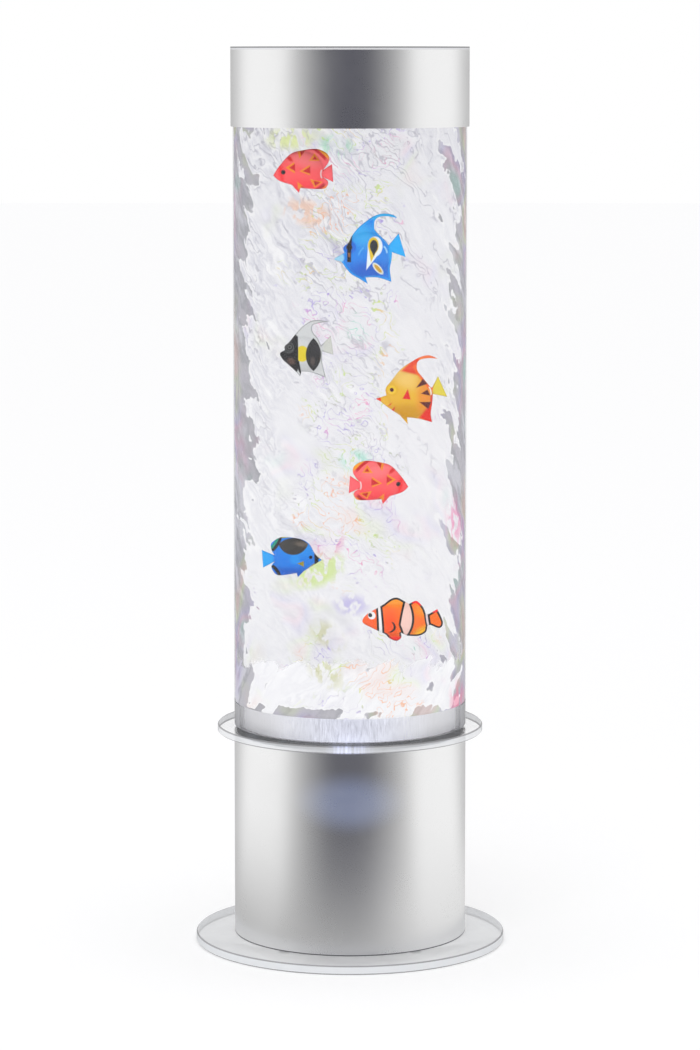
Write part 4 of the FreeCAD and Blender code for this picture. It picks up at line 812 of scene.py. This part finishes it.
def banner_paint():
    """Pale fish with a black head, a yellow patch and a black lens."""
    paint = FishPaint("banner_paint", (208, 210, 210))
    paint.lay(paint.rim(0.5), (168, 170, 172), 0.8)
    # painted shade: the lower body darker
    paint.spot((188, 190, 192), -1.0, -12.0, 9.0, 3.4, 0, 2.5, amount=0.7)
    paint.spot((206, 208, 200), 15.5, 0.6, 4.2, 9.0, 0, 1.0)
    head = paint.stroke((-6.1, 12.0), (-5.6, -7.6), 0.5, 0.3, 0.2)["Side"]
    paint.lay(paint.both(head, paint.oval(-14.0, -3.0, 13.0, 14.6, 0, 0.3)), BLACK)
    paint.patch(BLACK, [(-9.0, -6.0), (-5.0, -7.4), (-2.8, -20.0)], 0.3)
    paint.spot((74, 76, 76), -11.2, 1.5, 2.9, 2.9, 0, 0.25)
    paint.spot((30, 30, 30), -11.2, 1.5, 2.2, 2.2, 0, 0.25)
    paint.spot((96, 98, 96), -11.2, 1.5, 1.4, 1.4, 0, 0.25)
    paint.spot(BLACK, -11.2, 1.5, 0.8, 0.8, 0, 0.2)
    paint.line((84, 86, 86), (-14.4, -1.4), (-8.6, -0.6), 0.5, -1.0, 0.5, amount=0.8)
    paint.spot((96, 72, 62), -10.1, -7.9, 2.6, 2.0, -20, 1.0, amount=0.8)
    paint.lay(paint.both(paint.oval(-2.9, -2.9, 4.4, 5.3, 0, 0.3), less(paint.tree, 1.0, head)),
              (224, 202, 24))
    lens = paint.both(paint.oval(-5.1, -3.7, 14.6, 14.6, 0, 0.2), paint.oval(14.1, -3.7, 14.6, 14.6, 0, 0.2))
    paint.lay(lens, (26, 25, 26))
    paint.spot((92, 76, 70), 4.0, -7.9, 1.4, 2.6, 0, 0.8, amount=0.6)
    return paint.finish()


def amber_paint():
    """Yellow angelfish with an orange back fin and brown wedges."""
    paint = FishPaint("amber_paint", (232, 180, 40))
    # painted light and shade: the upper body lighter, the lower body darker
    paint.spot((242, 200, 104), -4.5, 9.5, 10.0, 6.5, -38, 4.0, amount=0.9)
    paint.spot((208, 150, 8), -3.0, -14.5, 12.0, 5.5, 0, 3.5, amount=0.9)
    paint.spot((238, 132, 44), 9.5, -4.0, 5.5, 12.0, 0, 4.0, amount=0.75)
    paint.patch((236, 70, 34), [(-7.0, 12.6), (6.0, 25.0), (4.6, 10.0)], 1.0)
    paint.line((246, 104, 30), (2.0, 16.6), (14.6, -0.6), 1.6, -0.6, 0.9)
    paint.spot((250, 122, 68), 11.5, 22.6, 9.0, 2.6, 0, 0.8)
    paint.line((226, 46, 22), (14.6, -1.6), (14.2, -17.0), 1.6, -0.5, 0.7)
    paint.patch((232, 40, 22), [(5.0, -18.6), (12.4, -9.0), (16.0, -24.0)], 1.2)
    paint.spot((226, 208, 66), 20.0, -0.8, 5.9, 12.5, 0, 0.7)
    for corners in ([(3.0, 1.8), (7.5, 7.6), (10.5, 4.3)], [(6.2, -2.1), (10.5, 0.5), (12.5, -3.6)],
                    [(5.2, -7.7), (13.1, -7.9), (11.2, -12.6)]):
        paint.patch((92, 26, 22), corners, 0.3)
    paint.patch((226, 28, 28), [(-6.0, -5.5), (-2.5, 1.0), (-0.6, -6.0)], 0.3)
    paint.patch((222, 28, 22), [(-16.1, -11.1), (-12.7, -7.9), (-13.9, -10.0)], 0.3)
    paint.patch((222, 28, 22), [(-13.5, -14.1), (-10.7, -10.4), (-12.0, -15.6)], 0.3)
    paint.line((244, 240, 226), (11.6, 2.2), (13.0, -3.2), 0.45, 0.5, 0.3)
    paint.spot((226, 172, 24), -13.1, 0.3, 3.9, 3.9, 0, 0.5)
    paint.spot((240, 196, 36), -13.1, 0.3, 3.1, 3.1, 0, 0.5)
    paint.spot((84, 8, 24), -13.1, 0.3, 1.3, 1.3)
    paint.spot((240, 58, 24), -22.8, -6.6, 2.6, 3.0, 0, 0.4)
    return paint.finish()


def saddle_paint():
    """Blue fish with a black saddle and olive marks."""
    paint = FishPaint("saddle_paint", (0, 122, 226))
    # painted light and shade: the upper body lighter, the lower body darker
    paint.spot((10, 144, 234), -6.0, 6.0, 12.0, 5.0, 0, 3.0, amount=0.8)
    paint.spot((0, 86, 196), 0.0, -10.0, 13.0, 3.6, 0, 2.4, amount=0.8)
    paint.spot((20, 162, 242), 17.4, -1.0, 5.4, 9.0, 0, 0.8)
    paint.line((186, 184, 24), (8.6, 13.4), (-5.0, 14.2), 0.8, -0.2, 0.3)
    paint.line((0, 146, 120), (8.6, 14.0), (14.8, 5.0), 1.0, -0.6, 0.3)
    paint.line(BLACK, (7.4, 13.6), (13.2, 4.4), 1.0, -0.9, 0.3)
    paint.line(BLACK, (13.2, -5.6), (8.0, -12.6), 1.1, -0.8, 0.3)
    saddle = paint.both(paint.oval(-1.0, -0.8, 13.7, 13.7, 0, 0.25),
                        paint.oval(-1.0, 12.7, 10.5, 10.5, 0, 0.25))
    paint.lay(saddle, (52, 50, 46))
    # painted highlight: a lighter patch on the saddle's upper front
    paint.lay(paint.both(saddle, paint.oval(-6.4, 9.0, 4.0, 1.4, 10, 1.2)), (118, 108, 96), 0.7)
    paint.spot((12, 148, 236), -2.1, -0.9, 3.4, 3.0, 0, 0.6, amount=0.8)
    paint.patch((150, 138, 14), [(-8.0, -2.0), (-3.7, -3.5), (-8.0, -6.1)], 0.3)
    paint.lay(paint.both(paint.stroke((-14.6, 8.0), (-15.2, -9.0), 0.5, 0.0, 0.2)["Side"],
                         paint.oval(-15.6, -2.0, 3.0, 4.6, 0, 0.3)), BLACK)
    paint.line((170, 168, 30), (-11.4, -7.4), (-15.2, -4.6), 0.7, 0.0, 0.3)
    paint.spot((10, 132, 230), -19.4, -2.2, 1.9, 2.0, 0, 0.3)
    paint.spot((12, 20, 44), -12.5, 0.4, 1.15, 1.15)
    return paint.finish()


def clown_paint():
    """Orange fish with white bands and dark outlines."""
    paint = FishPaint("clown_paint", (255, 112, 12))
    # painted highlight: the upper body lighter
    paint.spot((252, 160, 30), -5.0, 13.0, 9.0, 4.0, 0, 2.6, amount=0.9)
    paint.spot((255, 72, 10), -8.4, -3.4, 5.0, 9.0, 0, 4.0, amount=0.8)
    paint.spot((255, 84, 24), -22.0, -1.0, 5.0, 8.0, 0, 3.0, amount=0.7)
    paint.spot((250, 188, 16), 13.0, -8.6, 6.0, 3.6, 30, 2.4, amount=0.9)
    paint.spot((252, 158, 24), 12.0, 6.0, 5.0, 3.0, -30, 2.4, amount=0.7)
    paint.lay(paint.rim(1.05), BLACK)
    paint.lay(paint.both(paint.rim(1.15), paint.oval(10.0, 12.4, 6.6, 2.6, -16, 0.4)), (250, 16, 20))
    paint.lay(paint.both(paint.rim(1.15), paint.oval(20.8, 8.0, 3.6, 3.4, 0, 0.4)), (250, 16, 20))
    head = paint.stroke((-17.6, 13.0), (-16.4, -13.0), 0.7, 0.4, 0.15)
    paint.lay(paint.both(head["Side"], paint.rim(1.2)), (255, 96, 20))
    second = paint.stroke((-14.8, 13.0), (-12.7, -13.0), 0.7, 0.4, 0.15)
    paint.lay(paint.both(less(paint.tree, 1.0, head["Side"]), second["Side"]), WHITE)
    upper = paint.stroke((1.2, 12.2), (-2.1, -3.0), 0.7, -0.3, 0.15)
    lower = paint.stroke((-2.1, -3.0), (0.6, -11.4), 0.7, 0.2, 0.15)
    right = paint.stroke((3.9, 12.2), (2.2, -12.2), 0.75, 3.8, 0.15)
    left = figure(paint.tree, "MAXIMUM", upper["Side"], lower["Side"])
    band = paint.both(less(paint.tree, 1.0, left), right["Side"])
    paint.lay(band, (248, 204, 192))
    for line in (head, second, upper, lower, right):
        paint.lay(line["Line"], BLACK)
    paint.line(BLACK, (14.6, 7.2), (16.6, -6.0), 0.7, -0.4, 0.15)
    paint.line((232, 214, 218), (15.9, 6.0), (17.6, -5.4), 0.8, -0.4, 0.15)
    paint.line(BLACK, (17.2, 5.0), (18.9, -5.6), 0.7, -0.4, 0.15)
    paint.line(BLACK, (-6.9, -1.0), (-8.6, -8.3), 0.75, 2.4, 0.2)
    paint.spot((246, 22, 14), -4.6, -12.6, 4.4, 1.4, 0, 0.8, amount=0.9)
    paint.spot(WHITE, -20.6, 3.0, 2.5, 2.5)
    paint.spot(BLACK, -21.6, 3.2, 1.3, 1.3)
    return paint.finish()


def make_fish():
    """Puts each finished fish where its plain one floats."""
    paints = {"coral": coral_paint(), "azure": azure_paint(), "banner": banner_paint(),
              "amber": amber_paint(), "saddle": saddle_paint(), "clown": clown_paint()}
    meshes = {}
    for name, kind, faces_right, slot in FISH:
        if kind not in meshes:
            meshes[kind] = fish_mesh(kind)
            meshes[kind].materials.append(paints[kind])
        low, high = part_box(name)
        fish = bpy.data.objects.new(name + "_painted", meshes[kind])
        bpy.context.collection.objects.link(fish)
        fish.location = (low + high) / 2
        fish.rotation_euler.z = math.pi if faces_right else 0.0
        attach(fish, name + "_swim")
        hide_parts(name)


# ---------------------------------------------------------------- the water
# The wall bends light so that the tube looks full to its outer face: the water's skin lies just inside that.
WATER_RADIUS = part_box("water_tube")[1].x - 0.3 * MM
WATER_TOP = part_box("cap_liner")[0].z - 8 * MM
WATER_FOOT = COLLAR_TOP + 0.3 * MM
RIPPLE = 0.5 * MM
FOAM_FOOT = 166.0           # where the churned water over the stone is thickest, in millimetres
FOAM_TOP = 199.0            # and where its front clears
CALM_WAVES = 13.0           # noise in the water, in waves per metre: still places,
STAIN_WAVES = 17.0          # broad stains and clusters of lines,
CELL_WAVES = 150.0          # and the small cells that break the stains up
# stains in the water: centre (x, z), half sizes in millimetres, tilt in degrees and screen colour
STAINS = [
    (-22.0, 240.0, 17.0, 11.0, 20, (206, 234, 96)), (-16.0, 194.0, 12.0, 7.0, -40, (206, 206, 150)),
    (-15.0, 257.0, 11.0, 7.0, 30, (236, 150, 190)), (1.0, 215.0, 10.0, 6.0, 0, (176, 164, 232)),
    (-29.0, 487.0, 16.0, 8.0, -20, (246, 196, 160)), (71.0, 279.0, 4.0, 12.0, 0, (240, 90, 170)),
    (71.0, 167.0, 4.0, 10.0, 0, (246, 120, 160)), (4.0, 316.0, 9.0, 6.0, 0, (140, 226, 200)),
    (-40.0, 538.0, 14.0, 7.0, 0, (226, 240, 120)), (-10.0, 532.0, 10.0, 7.0, 0, (130, 216, 170))]


def water_finish(name):
    """Lit, stirred water: seen from within it glows with pale swirls, and from outside it is clear; where it is
    seen edge on it carries painted shade in darker lumps, each with a painted light outline, and the same lumps
    mark its churned foot.
    """
    made, tree, shader = new_finish(name, Roughness=0.4, Ior=1.33, Specular_IOR_Level=0.0,
                                    Emission_Strength=0.8)
    swirl = use(tree, SWIRL)
    at = scaled(tree, object_place(tree), TO_MM)
    level = axis(tree, at, "Z")
    edge = add(tree, "LayerWeight", {"Blend": 0.5}).outputs["Facing"]
    cloud = ramp(tree, swirl["Veil"], (0.34, screen(250, 250, 252)), (0.42, screen(226, 226, 233)),
                 (0.47, screen(242, 242, 246)), (0.52, screen(222, 222, 230)), (0.57, screen(246, 246, 249)),
                 (0.63, screen(230, 230, 236)), (0.72, screen(204, 204, 214)))
    still = grain(tree, vector(tree, "ADD", object_place(tree), (0.5, 0.2, 0.1)), CALM_WAVES)
    calm = between(tree, still, 0.46, 0.60)
    bright = between(tree, level, 190.0, 460.0, 0.55, 0.0)
    colour = over(tree, times(tree, calm, 0.75), cloud, screen(240, 240, 244))
    colour = over(tree, bright, colour, screen(252, 252, 254))
    scallop = figure(tree, "PINGPONG", times(tree, swirl["Lump"], 7.0), 0.5)
    crest = times(tree, between(tree, scallop, 0.02, 0.16, 1.0, 0.0),
                  between(tree, swirl["Veil"], 0.46, 0.56))
    colour = over(tree, times(tree, crest, less(tree, 0.62, bright)), colour, screen(176, 174, 188))
    stain = times(tree, between(tree, grain(tree, object_place(tree), STAIN_WAVES), 0.52, 0.66), 0.16)
    colour = over(tree, stain, colour, swirl["Pastel"])
    aside = figure(tree, "ABSOLUTE", axis(tree, at, "X"))
    middle = between(tree, aside, 12.0, 62.0, 0.13, -0.10)
    patchy = grain(tree, vector(tree, "ADD", object_place(tree), (0.2, 0.1, 0.4)), STAIN_WAVES)
    cluster = between(tree, plus(tree, patchy, middle), 0.50, 0.60)
    colour = over(tree, times(tree, times(tree, swirl["Contour"], cluster), 0.8), colour, swirl["Pastel"])
    # painted shade at the sides: darker lumps, each with a painted light outline, where the water turns edge
    # on; near the foot the same lumps mark churned water
    foot = between(tree, level, FOAM_FOOT, FOAM_FOOT + 12.0, 0.60, 0.0)
    reach = plus(tree, figure(tree, "MAXIMUM", edge, foot),
                 times(tree, less(tree, swirl["Lump"], 0.5), 1.2))
    edge_and_foam_outline_light = times(tree, between(tree, reach, 0.49, 0.53), 0.6)
    colour = over(tree, edge_and_foam_outline_light, colour, screen(252, 252, 253))
    edge_shade_and_foam_tone = over(tree, times(tree, between(tree, patchy, 0.42, 0.6), 0.24),
                ramp(tree, swirl["Veil"], (0.40, screen(200, 200, 208)), (0.50, screen(158, 158, 165)),
                     (0.60, screen(182, 180, 188))), swirl["Pastel"])
    colour = over(tree, times(tree, between(tree, reach, 0.55, 0.58), 0.88), colour, edge_shade_and_foam_tone)
    cells = grain(tree, vector(tree, "MULTIPLY", object_place(tree), (1.0, 1.0, 0.6)), CELL_WAVES, 2.0)
    for x, z, long, tall, tilt, tint in STAINS:
        spot = use(tree, OVAL, {"Place": at, "Centre": (x, 0.0, z), "Half Long": long, "Half Tall": tall,
                                "Tilt": math.radians(tilt), "Soft": 4.0})["Inside"]
        veined = times(tree, spot, between(tree, cells, 0.46, 0.54, 0.06, 0.62))
        colour = over(tree, veined, colour, screen(*tint))
    churn = plus(tree, level, times(tree, less(tree, swirl["Lump"], 0.5), 40.0))
    foam = between(tree, churn, FOAM_TOP - 3.0, FOAM_TOP, 1.0, 0.0)
    inner = figure(tree, "MAXIMUM", add(tree, "NewGeometry").outputs["Backfacing"], foam)
    rays = add(tree, "LightPath").outputs
    seen = figure(tree, "MAXIMUM", figure(tree, "MAXIMUM", rays["Is Camera Ray"], rays["Is Transmission Ray"]),
                  rays["Is Glossy Ray"])
    feed(tree, shader, {"Base Color": over(tree, 0.8, colour, (0, 0, 0, 1)), "Emission Color": colour,
                        "Alpha": times(tree, inner, seen)})
    return made


def water_surface():
    """The water's top: clear, with ripples that bubbles leave as they break."""
    made, tree, shader = new_finish("water_surface", Base_Color=screen(232, 236, 242), Roughness=0.08,
                                    Ior=1.33, Alpha=0.45)
    rings = add(tree, "TexVoronoi", {"Vector": object_place(tree), "Scale": 70.0}, feature="SMOOTH_F1")
    relief(tree, shader, rings.outputs["Distance"], 0.002)
    return made


def water_column():
    """The water: a skin rippled by the rising bubbles, closed by its foot and by its surface at the top."""
    around, rows = 220, 180
    verts, faces = [], []
    for row in range(rows + 1):
        z = WATER_FOOT + (WATER_TOP - WATER_FOOT) * row / rows
        for step in range(around):
            turn = 2 * math.pi * step / around
            flow = Vector((math.cos(turn - 11 * z), math.sin(turn - 11 * z), z * 9)) * 2.2
            r = WATER_RADIUS - RIPPLE * (1 + noise.noise(flow) + 0.5 * noise.noise(flow * 2.3)) / 2
            verts.append((r * math.cos(turn), r * math.sin(turn), z))
    for row in range(rows):
        for step in range(around):
            after = (step + 1) % around
            faces.append((row * around + step, row * around + after,
                          (row + 1) * around + after, (row + 1) * around + step))
    faces.append(tuple(reversed(range(around))))
    faces.append(tuple(range(rows * around, (rows + 1) * around)))
    mesh = bpy.data.meshes.new("water_column")
    mesh.from_pydata(verts, [], faces)
    mesh.shade_smooth()
    for end in mesh.polygons[-2:]:
        end.use_smooth = False
    mesh.polygons[-1].material_index = 1
    mesh.materials.append(water_finish("stirred_water"))
    mesh.materials.append(water_surface())
    column = bpy.data.objects.new("water_column", mesh)
    bpy.context.collection.objects.link(column)
    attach(column, "lamp_body")


# ---------------------------------------------------------------- studio
CAMERA_AT = (0.0, -2.4131, 0.5963)
CAMERA_DOWN = 5.457          # degrees below level
CAMERA_LENS = 124.45
CAMERA_SHIFT = -0.12


def studio():
    """A pale floor, even soft light and the camera at the photograph's angle."""
    scene = bpy.context.scene
    scene.view_settings.view_transform = "Standard"
    camera = bpy.data.objects.new("camera", bpy.data.cameras.new("camera"))
    camera.data.lens = CAMERA_LENS
    camera.data.shift_y = CAMERA_SHIFT
    camera.location = CAMERA_AT
    camera.rotation_euler = (math.radians(90 - CAMERA_DOWN), 0.0, 0.0)
    scene.collection.objects.link(camera)
    scene.camera = camera

    world = bpy.data.worlds.new("studio")
    scene.world = world
    world.use_nodes = True
    tree = world.node_tree
    direction = add(tree, "TexCoord").outputs["Generated"]
    horizon = use(tree, STUDIO, {"Direction": direction})["Light"]
    height = axis(tree, direction, "Z")
    light = over(tree, between(tree, height, 0.25, 0.75), horizon, (1.05, 1.05, 1.05, 1))
    rays = add(tree, "LightPath").outputs
    plain = figure(tree, "MAXIMUM", rays["Is Camera Ray"], rays["Is Transmission Ray"])
    diffuse = over(tree, rays["Is Diffuse Ray"], light, (0.92, 0.92, 0.93, 1))
    feed(tree, tree.nodes["Background"], {"Color": over(tree, plain, diffuse, (1, 1, 1, 1)), "Strength": 1.0})

    bpy.ops.mesh.primitive_plane_add(size=24.0, location=(0.0, 0.0, 0.0))
    floor = bpy.context.object
    floor.name = "studio_floor"
    made, tree, shader = new_finish("studio_floor", Roughness=0.9, Specular_IOR_Level=0.0,
                                    Emission_Strength=1.0)
    at = object_place(tree)
    away = vector(tree, "LENGTH", vector(tree, "MULTIPLY", at, (1.0, 1.0, 0.0)))
    far = use(tree, STUDIO, {"Direction": at})["Light"]
    right = between(tree, axis(tree, at, "X"), 0.0, 0.16)
    close = over(tree, right, (0.48, 0.48, 0.48, 1), (0.80, 0.80, 0.80, 1))
    near = over(tree, between(tree, away, 0.05, 0.52), close, far)
    glossy = add(tree, "LightPath").outputs["Is Glossy Ray"]
    feed(tree, shader, {"Base Color": over(tree, glossy, (0.8, 0.8, 0.8, 1), (0, 0, 0, 1)),
                        "Emission Color": over(tree, glossy, (0.24, 0.24, 0.24, 1), near)})
    floor.data.materials.append(made)

    key = bpy.data.objects.new("key", bpy.data.lights.new("key", "AREA"))
    key.data.energy = 9.0
    key.data.size = 1.4
    key.location = (-0.7, -2.0, 1.5)
    key.rotation_euler = (Vector((0, 0, 0.35)) - key.location).to_track_quat("-Z", "Y").to_euler()
    key.visible_glossy = False
    scene.collection.objects.link(key)


dress_nodes()
make_fish()
water_column()
studio()
